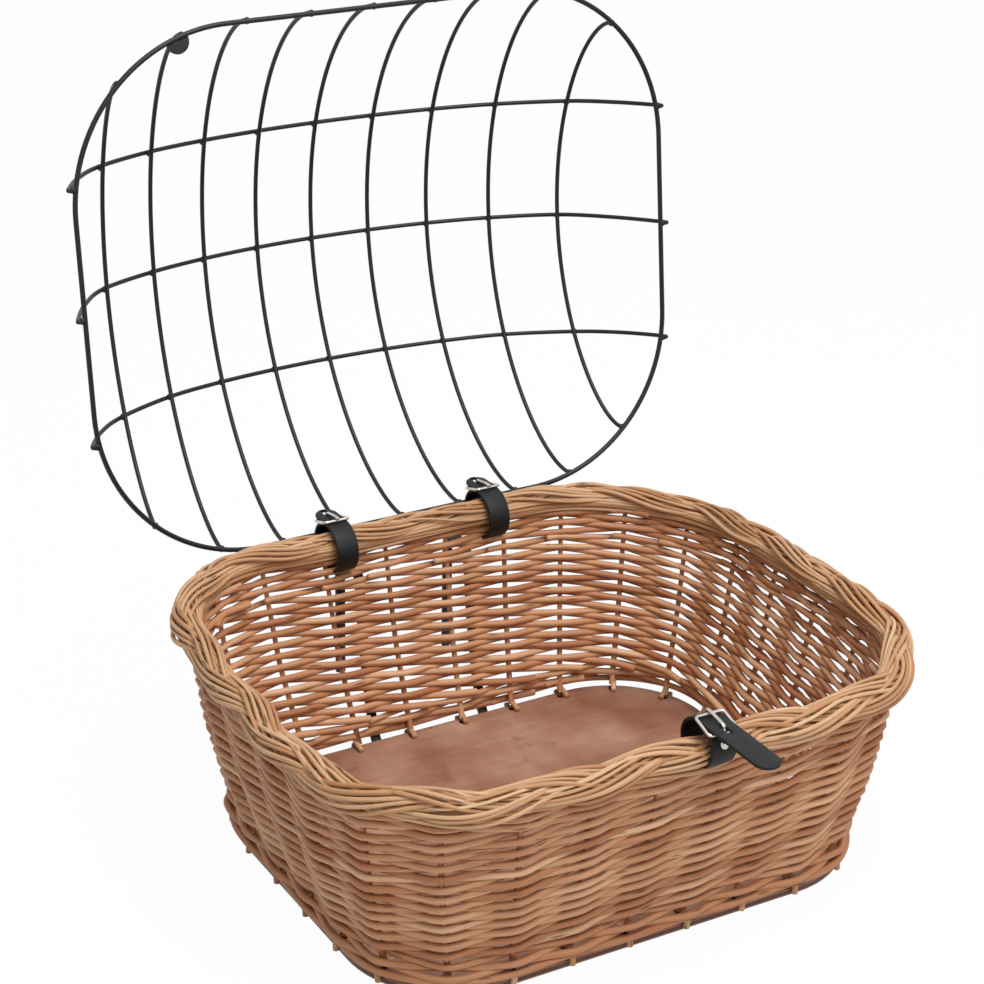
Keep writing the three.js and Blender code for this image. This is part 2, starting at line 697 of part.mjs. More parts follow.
place(basket, 'base_board', baseBoard(), plywood);
place(basket, 'stakes_and_border', stakesAndBorder(), paleWillow);
for (let row = 0; row < ROW_COUNT; row += 1) {
  place(basket, `weave_row_${String(row + 1).padStart(2, '0')}`, weaveRow(row), willow);
}

const lid = new THREE.Group();
lid.position.set(0, BORDER_DEPTH / 2 + hingeWireOffset, BORDER_MIDDLE_HEIGHT + HINGE_WIRE_RISE);
lid.rotation.x = -THREE.MathUtils.degToRad(LID_OPEN_ANGLE);
place(lid, 'lid_rim_wire', lidRimWire(), blackSteel);
for (let wire = 0; wire < CROSS_WIRES; wire += 1) {
  place(lid, `lid_cross_wire_${wire + 1}`, lidCrossWire(wire), blackSteel);
}
for (let wire = 0; wire < LONG_WIRES; wire += 1) {
  place(lid, `lid_long_wire_${wire + 1}`, lidLongWire(wire), blackSteel);
}
place(lid, 'lid_tab', lidTab(), blackLeather);
basket.add(lid);

for (const [name, side] of [['left', -1], ['right', 1]]) {
  const strap = new THREE.Group();
  strap.position.set(side * HINGE_STRAP_OFFSET, BORDER_DEPTH / 2, BORDER_MIDDLE_HEIGHT);
  place(strap, `hinge_strap_${name}`, buckledStrap(hingeStrap), blackLeather);
  place(strap, `hinge_buckle_${name}`, buckleFrame(hingeStrap), nickel);
  place(strap, `hinge_tongue_${name}`, buckleTongue(hingeStrap), nickel);
  basket.add(strap);
  place(basket, `hook_${name}`, hook(side), blackSteel);
  place(basket, `hook_screw_${name}`, hookScrew(side), zincSteel);
}

const clasp = new THREE.Group();
clasp.position.set(FRONT_STRAP_OFFSET, -BORDER_DEPTH / 2, BORDER_MIDDLE_HEIGHT);
clasp.rotation.z = Math.PI;
place(clasp, 'front_strap', buckledStrap(frontStrap), blackLeather);
place(clasp, 'front_buckle', buckleFrame(frontStrap), nickel);
place(clasp, 'front_tongue', buckleTongue(frontStrap), nickel);
place(clasp, 'front_strap_rivet', strapRivet(frontStrap), nickel);
basket.add(clasp);

export default basket;
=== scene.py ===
"""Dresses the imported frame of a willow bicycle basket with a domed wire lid.

Every length is in metres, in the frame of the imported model: +Z is up, the front faces -Y and
the origin is the middle of the base board's underside.
"""
import logging
import math
import random
from dataclasses import dataclass, field, replace
from enum import Enum
from typing import Callable, Optional, Sequence, Union

import bmesh
import bpy
from mathutils import Matrix, Vector


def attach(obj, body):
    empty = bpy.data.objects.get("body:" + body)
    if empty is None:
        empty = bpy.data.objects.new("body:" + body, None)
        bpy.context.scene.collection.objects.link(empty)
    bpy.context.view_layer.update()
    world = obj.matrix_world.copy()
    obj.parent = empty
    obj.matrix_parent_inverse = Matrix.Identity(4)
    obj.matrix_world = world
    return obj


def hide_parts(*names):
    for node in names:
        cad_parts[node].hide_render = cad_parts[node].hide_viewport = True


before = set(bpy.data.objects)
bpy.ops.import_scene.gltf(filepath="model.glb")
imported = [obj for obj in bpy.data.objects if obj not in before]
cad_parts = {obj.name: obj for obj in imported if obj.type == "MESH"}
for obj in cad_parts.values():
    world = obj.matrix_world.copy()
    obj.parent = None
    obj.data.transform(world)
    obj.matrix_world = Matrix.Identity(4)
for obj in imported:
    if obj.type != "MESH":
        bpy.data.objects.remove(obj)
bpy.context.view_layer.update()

LOG = logging.getLogger("basket")

UP = Vector((0.0, 0.0, 1.0))
ACROSS = Vector((1.0, 0.0, 0.0))
BACKWARD = Vector((0.0, 1.0, 0.0))
SHARP_ANGLE = math.radians(48.0)
PLATE_SHARP_ANGLE = math.radians(35.0)
WELD_DISTANCE = 1e-6
BEND_SHARE = 0.45
END_TAPER = 0.72
TONE_SHIFT = 7.3
WHOLE_TURN = 6.28

Line = Sequence[Vector]
Pair = tuple[float, float]
Triple = tuple[float, float, float]
Section = Sequence[Pair]
Socket = bpy.types.NodeSocket
Values = dict[Union[str, int], object]


class Body(str, Enum):
    """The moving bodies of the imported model."""

    BASKET = "basket"
    LID = "lid"
    FRONT_TONGUE = "front_tongue_body"
    LEFT_TONGUE = "hinge_tongue_left_body"
    RIGHT_TONGUE = "hinge_tongue_right_body"


class Slot(str, Enum):
    """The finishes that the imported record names."""

    PLYWOOD = "plywood"
    BORDER = "border_willow"
    WILLOW = "willow"
    WIRE = "black_wire"
    RUBBER = "black_rubber"
    LEATHER = "black_leather"
    NICKEL = "nickel"
    HOOK = "hook_steel"
    SCREW = "screw_steel"


class Side(Enum):
    """The two sides of the basket, with the sign of X there."""

    LEFT = -1
    RIGHT = 1

    @property
    def label(self) -> str:
        """The side's name in small letters."""
        return self.name.lower()


def linear(code: str) -> tuple[float, float, float, float]:
    """Turns an sRGB hex colour into linear light.

    Args:
        code: Six hex digits, with or without a leading #.

    Returns:
        The colour as red, green, blue and an alpha of 1.
    """
    digits = code.lstrip("#")
    parts = [int(digits[place:place + 2], 16) / 255 for place in (0, 2, 4)]
    red, green, blue = [
        part / 12.92 if part <= 0.04045 else ((part + 0.055) / 1.055) ** 2.4 for part in parts
    ]
    return (red, green, blue, 1.0)


WHITE = linear("#FFFFFF")


def add_node(
    tree: bpy.types.NodeTree,
    kind: str,
    settings: Optional[dict[Union[str, int], object]] = None,
    links: Optional[dict[Union[str, int], Socket]] = None,
) -> bpy.types.Node:
    """Adds a shader node with its settings and its links.

    Args:
        tree: The node tree that takes the node.
        kind: Blender's name of the node type.
        settings: Socket values by name or number, properties by name, and "stops" for a ramp.
        links: The output that feeds each socket, by the socket's name or number.

    Returns:
        The new node.
    """
    node = tree.nodes.new(kind)
    for name, value in (settings or {}).items():
        if name == "stops":
            elements = node.color_ramp.elements
            while len(elements) < len(value):
                elements.new(1.0)
            for element, (place, colour) in zip(elements, value):
                element.position = place
                element.color = colour
        elif isinstance(name, int) or name in node.inputs:
            node.inputs[name].default_value = value
        else:
            setattr(node, name, value)
    for socket, source in (links or {}).items():
        tree.links.new(source, node.inputs[socket])
    return node


@dataclass(frozen=True)
class Patch:
    """A colour that a pattern lays over a surface.

    It starts to show at one value of the pattern, and shows most, by a share, at another.
    """

    colour: str
    start: float
    full: float
    most: float


class Palette:
    """Adds the groups of nodes that the finishes share to one node tree."""

    def __init__(self, tree: bpy.types.NodeTree) -> None:
        """Keeps the tree that takes the nodes."""
        self.tree = tree

    def feed(self, kind: str, output: Union[str, int], values: Optional[Values] = None) -> Socket:
        """Adds a shader node.

        Args:
            kind: Blender's name of the node type, after ShaderNode.
            output: The output that is wanted, by name or number.
            values: Plain settings, and the sockets that feed the node, by name or number.

        Returns:
            The output's socket.
        """
        plain, links = {}, {}
        for name, value in (values or {}).items():
            kept = links if isinstance(value, Socket) else plain
            kept[name] = value
        return add_node(self.tree, f"ShaderNode{kind}", plain, links).outputs[output]

    def place(self) -> Socket:
        """The place on the piece, in metres."""
        return self.feed("TexCoord", "Object")

    def normal(self) -> Socket:
        """The direction that a face looks in."""
        return self.feed("NewGeometry", "True Normal")

    def carried(self, name: str, output: str) -> Socket:
        """A value that the mesh carries at its points."""
        return self.feed("Attribute", output, {"attribute_name": name})

    def stretch(self, place: Socket, size: Pair) -> Socket:
        """The place, counted in a pattern's lengths along X and in its widths across."""
        scale = (1 / size[0], 1 / size[1], 1 / size[1])
        return self.feed("Mapping", "Vector", {"Scale": scale, "Vector": place})

    def noise(
        self, place: Socket, size: float = 1.0, detail: float = 2.0, roughness: float = 0.5,
        distortion: float = 0.0,
    ) -> Socket:
        """Noise from 0 to 1, in clouds of a size with finer layers, which it can warp."""
        values = {"Scale": 1 / size, "Detail": detail, "Roughness": roughness, "Distortion": distortion}
        return self.feed("TexNoise", "Fac", {**values, "Vector": place})

    def cells(self, place: Socket, size: float = 1.0, feature: str = "F1") -> Socket:
        """The distance from the nearest of many scattered points."""
        return self.feed("TexVoronoi", "Distance", {"Scale": 1 / size, "feature": feature, "Vector": place})

    def remap(self, value: Socket, low: float, high: float, start: float = 0.0, end: float = 1.0) -> Socket:
        """The value on a new scale, on which low becomes start and high becomes end."""
        values = {"From Min": low, "From Max": high, "To Min": start, "To Max": end}
        return self.feed("MapRange", "Result", {**values, "Value": value})

    def ramp(self, value: Socket, stops: Sequence[tuple[float, str]]) -> Socket:
        """The colour that a value picks between hex colours."""
        colours = [(place, linear(code)) for place, code in stops]
        return self.feed("ValToRGB", "Color", {"stops": colours, "Fac": value})

    def mix(self, share: Socket, under: Union[str, Socket], over: Union[str, Socket]) -> Socket:
        """Two colours, each a hex colour or a socket, mixed by the share of the upper one."""
        low, high = [linear(colour) if isinstance(colour, str) else colour for colour in (under, over)]
        return self.feed("Mix", 2, {"data_type": "RGBA", 0: share, 6: low, 7: high})

    def lay(self, patch: Patch, pattern: Socket, under: Socket) -> Socket:
        """The colour below, with a patch's colour over it where the pattern says so."""
        return self.mix(self.remap(pattern, patch.start, patch.full, 0.0, patch.most), under, patch.colour)

    def compute(self, operation: str, first: Socket, second: Union[float, Socket] = 0.0) -> Socket:
        """The result of one of the sums that Blender has names for."""
        return self.feed("Math", 0, {"operation": operation, 0: first, 1: second})

    def upward(self, vector: Socket) -> Socket:
        """The upward part of a vector."""
        return self.feed("SeparateXYZ", "Z", {"Vector": vector})

    def relief(self, heights: Socket, strength: float, distance: float) -> Socket:
        """The normal of a surface with small heights on it."""
        return self.feed("Bump", "Normal", {"Strength": strength, "Distance": distance, "Height": heights})

    def shader(self, settings: dict[str, float], *links: Socket) -> Socket:
        """The shader of solid stuff, from its colour, its roughness and perhaps its normal."""
        named = dict(zip(("Base Color", "Roughness", "Normal"), links))
        return self.feed("BsdfPrincipled", "BSDF", {**settings, **named})

    def seen_directly(self) -> Socket:
        """Tells rays that show the background from rays that carry its light.

        Returns:
            A socket that is 1 for camera, glossy and transmission rays.
        """
        seen = self.feed("LightPath", "Is Camera Ray")
        for kind in ("Glossy", "Transmission"):
            seen = self.compute("MAXIMUM", seen, self.feed("LightPath", f"Is {kind} Ray"))
        return seen


@dataclass(frozen=True)
class Finish:
    """What a surface is made of and how it was finished."""

    name: str

    def material(self) -> bpy.types.Material:
        """Makes the material, or finds it where it was made before.

        Returns:
            The material of this finish.
        """
        known = bpy.data.materials.get(self.name)
        if known is not None:
            return known
        material = bpy.data.materials.new(self.name)
        material.use_nodes = True
        tree = material.node_tree
        tree.nodes.clear()
        output = add_node(tree, "ShaderNodeOutputMaterial")
        tree.links.new(self.surface(Palette(tree)), output.inputs["Surface"])
        return material

    def surface(self, palette: Palette) -> Socket:
        """Builds the shader.

        Args:
            palette: What adds nodes to the material.

        Returns:
            The socket that feeds the material's surface.
        """
        raise NotImplementedError


@dataclass(frozen=True)
class PeeledWillow(Finish):
    """Boiled and peeled willow, with a satin skin.

    The eye sees a warm tan that differs from rod to rod, fine fibre along each rod, soft redder
    stretches and a few dark leaf scars.
    """

    tones: tuple[str, ...] = ()
    fibre: Patch = Patch("#7A4B2E", 0.50, 0.74, 0.42)
    flush: Patch = Patch("#A35F3C", 0.48, 0.72, 0.40)
    scar: Patch = Patch("#4A2A18", 0.16, 0.07, 0.75)
    fibre_size: Pair = (0.030, 0.0012)
    flush_size: Pair = (0.060, 0.008)
    scar_size: Pair = (0.045, 0.006)
    roughness: Pair = (0.42, 0.66)
    relief: Pair = (0.35, 0.0003)

    def surface(self, palette: Palette) -> Socket:
        """Builds the shader.

        Args:
            palette: What adds nodes to the material.

        Returns:
            The socket that feeds the material's surface.
        """
        grain = palette.carried("grain", "Vector")
        steps = len(self.tones) - 1
        stops = [(place / steps, code) for place, code in enumerate(self.tones)]
        colour = palette.ramp(palette.carried("tone", "Fac"), stops)
        # real fibre is finer than a pixel, so it is drawn about four times as wide
        fibres = palette.noise(palette.stretch(grain, self.fibre_size), detail=3.0, roughness=0.6)
        flushes = palette.noise(palette.stretch(grain, self.flush_size))
        scars = palette.cells(palette.stretch(grain, self.scar_size))
        for patch, pattern in ((self.fibre, fibres), (self.flush, flushes), (self.scar, scars)):
            colour = palette.lay(patch, pattern, colour)
        return palette.shader(
            {"IOR": 1.48, "Specular IOR Level": 0.42}, colour,
            palette.remap(fibres, 0.0, 1.0, *self.roughness), palette.relief(fibres, *self.relief),
        )


@dataclass(frozen=True)
class StainedPlywood(Finish):
    """Birch plywood with a brown stain and a thin matt lacquer.

    The eye sees cloudy red-brown stain with darker blots, grain lines along the board, and pale
    and dark plies on the cut edge.
    """

    stain: tuple[tuple[float, str], ...] = ((0.36, "#815138"), (0.64, "#B48B74"))
    grain: Patch = Patch("#7A4D35", 0.50, 0.72, 0.32)
    blot: Patch = Patch("#6A3E29", 0.58, 0.74, 0.75)
    plies: tuple[tuple[float, str], ...] = ((0.42, "#4A2A17"), (0.58, "#95623F"))
    ply: float = 0.0021
    cloud: float = 0.110
    blot_size: float = 0.034
    grain_size: Pair = (0.110, 0.004)
    edge_facing: Pair = (0.75, 0.45)
    roughness: Pair = (0.42, 0.62)
    relief: Pair = (0.25, 0.0004)

    def surface(self, palette: Palette) -> Socket:
        """Builds the shader.

        Args:
            palette: What adds nodes to the material.

        Returns:
            The socket that feeds the material's surface.
        """
        place = palette.place()
        clouds = palette.noise(place, self.cloud, detail=4.0, roughness=0.55)
        blots = palette.noise(place, self.blot_size, detail=6.0, roughness=0.70)
        along = palette.stretch(place, self.grain_size)
        lines = palette.noise(along, detail=5.0, roughness=0.65, distortion=0.8)
        face = palette.lay(self.blot, blots, palette.ramp(clouds, self.stain))
        face = palette.lay(self.grain, lines, face)
        turn = palette.compute("MULTIPLY", palette.upward(place), math.pi / self.ply)
        wave = palette.compute("SINE", turn)
        level = palette.compute("ABSOLUTE", palette.upward(palette.normal()))
        edge = palette.remap(level, *self.edge_facing)
        return palette.shader(
            {"IOR": 1.5, "Specular IOR Level": 0.45},
            palette.mix(edge, face, palette.ramp(wave, self.plies)),
            palette.remap(clouds, 0.0, 1.0, *self.roughness), palette.relief(lines, *self.relief),
        )


@dataclass(frozen=True)
class GrainedSkin(Finish):
    """A dark skin over something else: coated leather, powder coat, paint or moulded rubber.

    The eye sees one dark colour with a fine pebble or orange peel, and a gloss that varies a
    little where the skin has been rubbed.
    """

    base: str = "#1C1D20"
    rubbed: str = "#34363A"
    pebble: float = 0.0012
    rub: float = 0.012
    rub_range: tuple[float, ...] = (0.45, 0.80, 0.0, 0.7)
    roughness: float = 0.5
    gloss_change: float = 0.12
    relief: float = 0.3
    cracked: bool = False
    ior: float = 1.5

    def surface(self, palette: Palette) -> Socket:
        """Builds the shader.

        Args:
            palette: What adds nodes to the material.

        Returns:
            The socket that feeds the material's surface.
        """
        place = palette.place()
        rubs = palette.noise(place, self.rub, detail=4.0, roughness=0.6)
        if self.cracked:
            pebbles = palette.cells(place, self.pebble, "SMOOTH_F1")
        else:
            pebbles = palette.noise(place, self.pebble)
        glossy, matt = self.roughness - self.gloss_change, self.roughness + self.gloss_change
        return palette.shader(
            {"IOR": self.ior},
            palette.mix(palette.remap(rubs, *self.rub_range), self.base, self.rubbed),
            palette.remap(rubs, 0.0, 1.0, glossy, matt),
            palette.relief(pebbles, self.relief, self.pebble / 4),
        )


@dataclass(frozen=True)
class PlatedMetal(Finish):
    """Steel with a bright or dull metal plating.

    The eye sees a mirror that is broken by fine handling scratches and small cloudy patches.
    """

    bright: str = "#D6D2CA"
    dull: str = "#A8A39B"
    roughness: float = 0.16
    clouding: float = 0.18
    smear: float = 0.006
    tint_range: Pair = (0.35, 0.75)
    gloss_range: Pair = (0.3, 0.8)

    def surface(self, palette: Palette) -> Socket:
        """Builds the shader.

        Args:
            palette: What adds nodes to the material.

        Returns:
            The socket that feeds the material's surface.
        """
        smears = palette.noise(palette.place(), self.smear, detail=5.0, roughness=0.65)
        return palette.shader(
            {"Metallic": 1.0},
            palette.ramp(smears, list(zip(self.tint_range, (self.bright, self.dull)))),
            palette.remap(smears, *self.gloss_range, self.roughness, self.roughness + self.clouding),
        )


@dataclass(frozen=True)
class StudioPaper(Finish):
    """A seamless white paper floor, white to the eye and pale grey to the light it returns."""

    paper: str = "#E8E8E8"
    whiteness: float = 0.97

    def surface(self, palette: Palette) -> Socket:
        """Builds the shader.

        Args:
            palette: What adds nodes to the material.

        Returns:
            The socket that feeds the material's surface.
        """
        share = palette.compute("MULTIPLY", palette.seen_directly(), self.whiteness)
        diffuse = palette.feed("BsdfDiffuse", "BSDF", {"Color": linear(self.paper)})
        glow = palette.feed("Emission", "Emission", {"Color": WHITE, "Strength": 1.0})
        return palette.feed("MixShader", "Shader", {0: share, 1: diffuse, 2: glow})


BUFF_WILLOW = PeeledWillow(
    "buff_willow", tones=("#A76E48", "#BD8760", "#CD9C75", "#B37951", "#D9AE87"),
)
PALE_WILLOW = PeeledWillow(
    "pale_border_willow", tones=("#A8754C", "#BA8C63", "#CAA27C", "#B18158", "#D5B38D"),
    fibre=replace(PeeledWillow.fibre, colour="#875837"),
    flush=replace(PeeledWillow.flush, colour="#B27B50"),
)
STAINED_PLYWOOD = StainedPlywood("stained_birch_plywood")
POWDER_COAT = GrainedSkin(
    "black_powder_coated_wire", base="#0C0D0E", rubbed="#16181A", pebble=0.0009, roughness=0.42, ior=1.4,
)
BLACK_LEATHER = GrainedSkin(
    "black_coated_leather", base="#090A0C", rubbed="#131518", pebble=0.0011, roughness=0.58,
    relief=0.45, cracked=True, ior=1.38,
)
BLACK_PAINT = GrainedSkin(
    "black_painted_flat_steel", base="#08080A", rubbed="#141516", pebble=0.0016, roughness=0.55, ior=1.4,
)
BLACK_RUBBER = GrainedSkin(
    "moulded_black_rubber", base="#141414", rubbed="#1D1D1D", pebble=0.0007, roughness=0.68,
)
BRIGHT_NICKEL = PlatedMetal("bright_nickel_plate")
ZINC = PlatedMetal("zinc_plated_steel", bright="#BFC1C4", dull="#8F9296", roughness=0.30)
WHITE_PAPER = StudioPaper("white_studio_paper")


def circle(sides: int) -> list[Pair]:
    """The corners of a round section with a radius of one, to the side and upwards."""
    turns = [2 * math.pi * side / sides for side in range(sides)]
    return [(math.cos(turn), math.sin(turn)) for turn in turns]


def rounded_bar(width: float, height: float, corner: float, steps: int = 4) -> list[Pair]:
    """Gives the corners of a rectangular section with rounded edges.

    Args:
        width: The size to the side.
        height: The size upwards.
        corner: The radius of the edges.
        steps: The number of points on each rounded edge.

    Returns:
        The corners as offsets to the side and upwards.
    """
    points = []
    for quarter in range(4):
        middle = math.pi / 4 + quarter * math.pi / 2
        centre_side = math.copysign(width / 2 - corner, math.cos(middle))
        centre_up = math.copysign(height / 2 - corner, math.sin(middle))
        for step in range(steps):
            turn = quarter * math.pi / 2 + step / (steps - 1) * math.pi / 2
            points.append((centre_side + corner * math.cos(turn), centre_up + corner * math.sin(turn)))
    return points


def half_circle(radius: float, start: float, steps: int = 24) -> list[Pair]:
    """The corners of a half circle that opens downwards, with its middle at a height."""
    turns = [math.pi * step / steps for step in range(steps + 1)]
    return [(radius * math.cos(turn), start + radius * math.sin(turn)) for turn in turns]


def smooth_line(corners: Line, steps: int) -> list[Vector]:
    """Runs a smooth curve through a few points.

    Args:
        corners: The points.
        steps: The number of new points from one to the next.

    Returns:
        The points of the curve.
    """
    spans = len(corners) - 1
    line = []
    for span in range(spans):
        near, far = corners[span], corners[span + 1]
        before = corners[span - 1] if span > 0 else near * 2 - far
        after = corners[span + 2] if span < spans - 1 else far * 2 - near
        for step in range(steps):
            share = step / steps
            line.append(
                near + 0.5 * share * (
                    (far - before)
                    + share * (2 * before - 5 * near + 4 * far - after)
                    + share * share * (3 * (near - far) + after - before)
                )
            )
    line.append(corners[-1].copy())
    return line


def filleted_line(corners: Line, radius: float, steps: int = 6) -> list[Vector]:
    """Rounds the bends of a broken line.

    Args:
        corners: The points of the broken line.
        radius: How far from each corner its bend begins, where the sides are long enough.
        steps: The number of points in each bend.

    Returns:
        The points of the rounded line.
    """
    line = [corners[0].copy()]
    for before, corner, after in zip(corners, corners[1:], corners[2:]):
        start = corner + (before - corner).normalized() * min(radius, (before - corner).length * BEND_SHARE)
        end = corner + (after - corner).normalized() * min(radius, (after - corner).length * BEND_SHARE)
        for step in range(steps + 1):
            share = step / steps
            line.append(start.lerp(corner, share).lerp(corner.lerp(end, share), share))
    line.append(corners[-1].copy())
    return line


class Sweep:
    """Collects sections swept along lines as one mesh, with grain and tone for its finish."""

    def __init__(self) -> None:
        """Starts with nothing."""
        self.points: list[Vector] = []
        self.faces: list[tuple[int, ...]] = []
        self.grain: list[Vector] = []
        self.tone: list[float] = []

    def add(
        self,
        line: Line,
        section: Section,
        size: Union[float, Callable[[float], float]] = 1.0,
        tone: float = 0.5,
        endless: bool = False,
        upwards: Vector = UP,
        end_round: float = 0.0,
    ) -> "Sweep":
        """Adds one length.

        Args:
            line: The middle line.
            section: The section's corners, to the side and upwards.
            size: The section's scale, or a function that gives it at a share of the length.
            tone: A share that picks the length's own colour.
            endless: Whether the length closes on itself.
            upwards: A direction that the section's upward side keeps to.
            end_round: How far its ends are rounded over.

        Returns:
            This sweep.
        """
        count, sides = len(line), len(section)
        rings, travelled, here = [], 0.0, line[0]
        for index, point in enumerate(line):
            before = line[index - 1] if endless or index > 0 else line[0]
            after = line[(index + 1) % count] if endless or index < count - 1 else line[-1]
            along = (after - before).normalized()
            sideways = along.cross(upwards).normalized()
            lift = sideways.cross(along)
            travelled += (point - here).length
            here = point
            scale = size(index / (count - 1)) if callable(size) else size
            rings.append((point, sideways * scale, lift * scale, travelled))
        if not endless and end_round > 0.0:
            first, last = rings[0], rings[-1]
            start = (line[0] - line[1]).normalized() * end_round
            end = (line[-1] - line[-2]).normalized() * end_round
            rings.insert(0, (first[0] + start, first[1] * END_TAPER, first[2] * END_TAPER, -end_round))
            rings.append((last[0] + end, last[1] * END_TAPER, last[2] * END_TAPER, travelled + end_round))
        base = len(self.points)
        for point, sideways, lift, distance in rings:
            level = sideways.normalized()
            for side, up in section:
                offset = sideways * side + lift * up
                self.points.append(point + offset)
                self.grain.append(Vector((distance + tone * TONE_SHIFT, offset.dot(level), offset.z)))
                self.tone.append(tone)
        spans = len(rings) if endless else len(rings) - 1
        for span in range(spans):
            near, far = base + span * sides, base + (span + 1) % len(rings) * sides
            for side in range(sides):
                following = (side + 1) % sides
                self.faces.append((near + following, near + side, far + side, far + following))
        if not endless:
            last = base + (len(rings) - 1) * sides
            self.faces.append(tuple(base + side for side in range(sides)))
            self.faces.append(tuple(last + side for side in reversed(range(sides))))
        return self

    def mesh(self, name: str) -> bpy.types.Mesh:
        """Makes the mesh of all that was added.

        Args:
            name: The mesh's name.

        Returns:
            The mesh, smooth apart from its sharp edges.
        """
        mesh = bpy.data.meshes.new(name)
        mesh.from_pydata(self.points, [], self.faces)
        grain = mesh.attributes.new("grain", "FLOAT_VECTOR", "POINT")
        grain.data.foreach_set("vector", [value for vector in self.grain for value in vector])
        tone = mesh.attributes.new("tone", "FLOAT", "POINT")
        tone.data.foreach_set("value", self.tone)
        return settled(mesh)


def settled(mesh: bpy.types.Mesh, angle: float = SHARP_ANGLE) -> bpy.types.Mesh:
    """Welds a mesh, turns its faces outwards and smooths it between its sharp edges.

    Args:
        mesh: The mesh to settle.
        angle: The bend between two faces above which their edge stays sharp.

    Returns:
        The same mesh.
    """
    work = bmesh.new()
    work.from_mesh(mesh)
    bmesh.ops.remove_doubles(work, verts=work.verts, dist=WELD_DISTANCE)
    bmesh.ops.recalc_face_normals(work, faces=work.faces)
    work.to_mesh(mesh)
    work.free()
    mesh.shade_smooth()
    mesh.set_sharp_from_angle(angle=angle)
    return mesh


def placed(name: str, data: bpy.types.ID) -> bpy.types.Object:
    """Makes an object and puts it in the scene.

    Args:
        name: The object's name.
        data: Its mesh, curve, lamp or camera.

    Returns:
        The object.
    """
    thing = bpy.data.objects.new(name, data)
    bpy.context.scene.collection.objects.link(thing)
    return thing


def cut_plate(
    name: str, outlines: Sequence[Sequence[Sequence[float]]], thickness: float, round_over: float,
) -> bpy.types.Mesh:
    """Cuts a flat plate with rounded edges from an outline and the holes in it.

    Args:
        name: The mesh's name.
        outlines: The outer outline and the holes, drawn in the XY plane.
        thickness: The plate's thickness, half of it on each side of Z 0.
        round_over: The radius of the edges, by which the plate also grows past its outlines.

    Returns:
        The plate's mesh.
    """
    curve = bpy.data.curves.new(name, "CURVE")
    curve.dimensions = "2D"
    curve.fill_mode = "BOTH"
    curve.extrude = thickness / 2 - round_over
    curve.bevel_depth = round_over
    curve.bevel_resolution = 2
    for outline in outlines:
        spline = curve.splines.new("POLY")
        spline.points.add(len(outline) - 1)
        for point, corner in zip(spline.points, outline):
            point.co = (corner[0], corner[1], 0.0, 1.0)
        spline.use_cyclic_u = True
    holder = placed(name, curve)
    graph = bpy.context.evaluated_depsgraph_get()
    mesh = bpy.data.meshes.new_from_object(holder.evaluated_get(graph))
    bpy.data.objects.remove(holder)
    bpy.data.curves.remove(curve)
    mesh.name = name
    return settled(mesh, PLATE_SHARP_ANGLE)


def lathe(name: str, profile: Sequence[Pair], segments: int = 40) -> bpy.types.Mesh:
    """Turns a profile about the Y axis.

    Args:
        name: The mesh's name.
        profile: Points as a radius and a height, the first and the last on the axis.
        segments: The number of steps round.

    Returns:
        The turned mesh.
    """
    points = [Vector((0.0, profile[0][1], 0.0))]
    faces = []
    inner = profile[1:-1]
    for radius, height in inner:
        for step in range(segments):
            turn = 2 * math.pi * step / segments
            points.append(Vector((radius * math.cos(turn), height, radius * math.sin(turn))))
    points.append(Vector((0.0, profile[-1][1], 0.0)))
    last = len(points) - 1
    top = 1 + (len(inner) - 1) * segments
    for step in range(segments):
        following = (step + 1) % segments
        faces.append((0, 1 + step, 1 + following))
        faces.append((last, top + following, top + step))
        for ring in range(len(inner) - 1):
            near, far = 1 + ring * segments, 1 + (ring + 1) * segments
            faces.append((near + step, far + step, far + following, near + following))
    mesh = bpy.data.meshes.new(name)
    mesh.from_pydata(points, [], faces)
    return settled(mesh)


def dress(
    mesh: bpy.types.Mesh,
    finish: Finish,
    body: Body,
    replaced: Sequence[str] = (),
    place: Optional[Matrix] = None,
) -> bpy.types.Object:
    """Makes a finished piece that rides on a body.

    Args:
        mesh: The piece's mesh, whose name becomes the piece's.
        finish: What the piece is made of.
        body: The body that carries it.
        replaced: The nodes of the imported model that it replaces.
        place: Where the mesh goes, if it isn't drawn in place.

    Returns:
        The piece.
    """
    if place is not None:
        mesh.transform(place)
    piece = placed(mesh.name, mesh)
    mesh.materials.clear()
    mesh.materials.append(finish.material())
    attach(piece, body.value)
    if replaced:
        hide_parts(*replaced)
    LOG.info("%s: %d faces, on %s, in %s", piece.name, len(mesh.polygons), body.value, finish.name)
    return piece


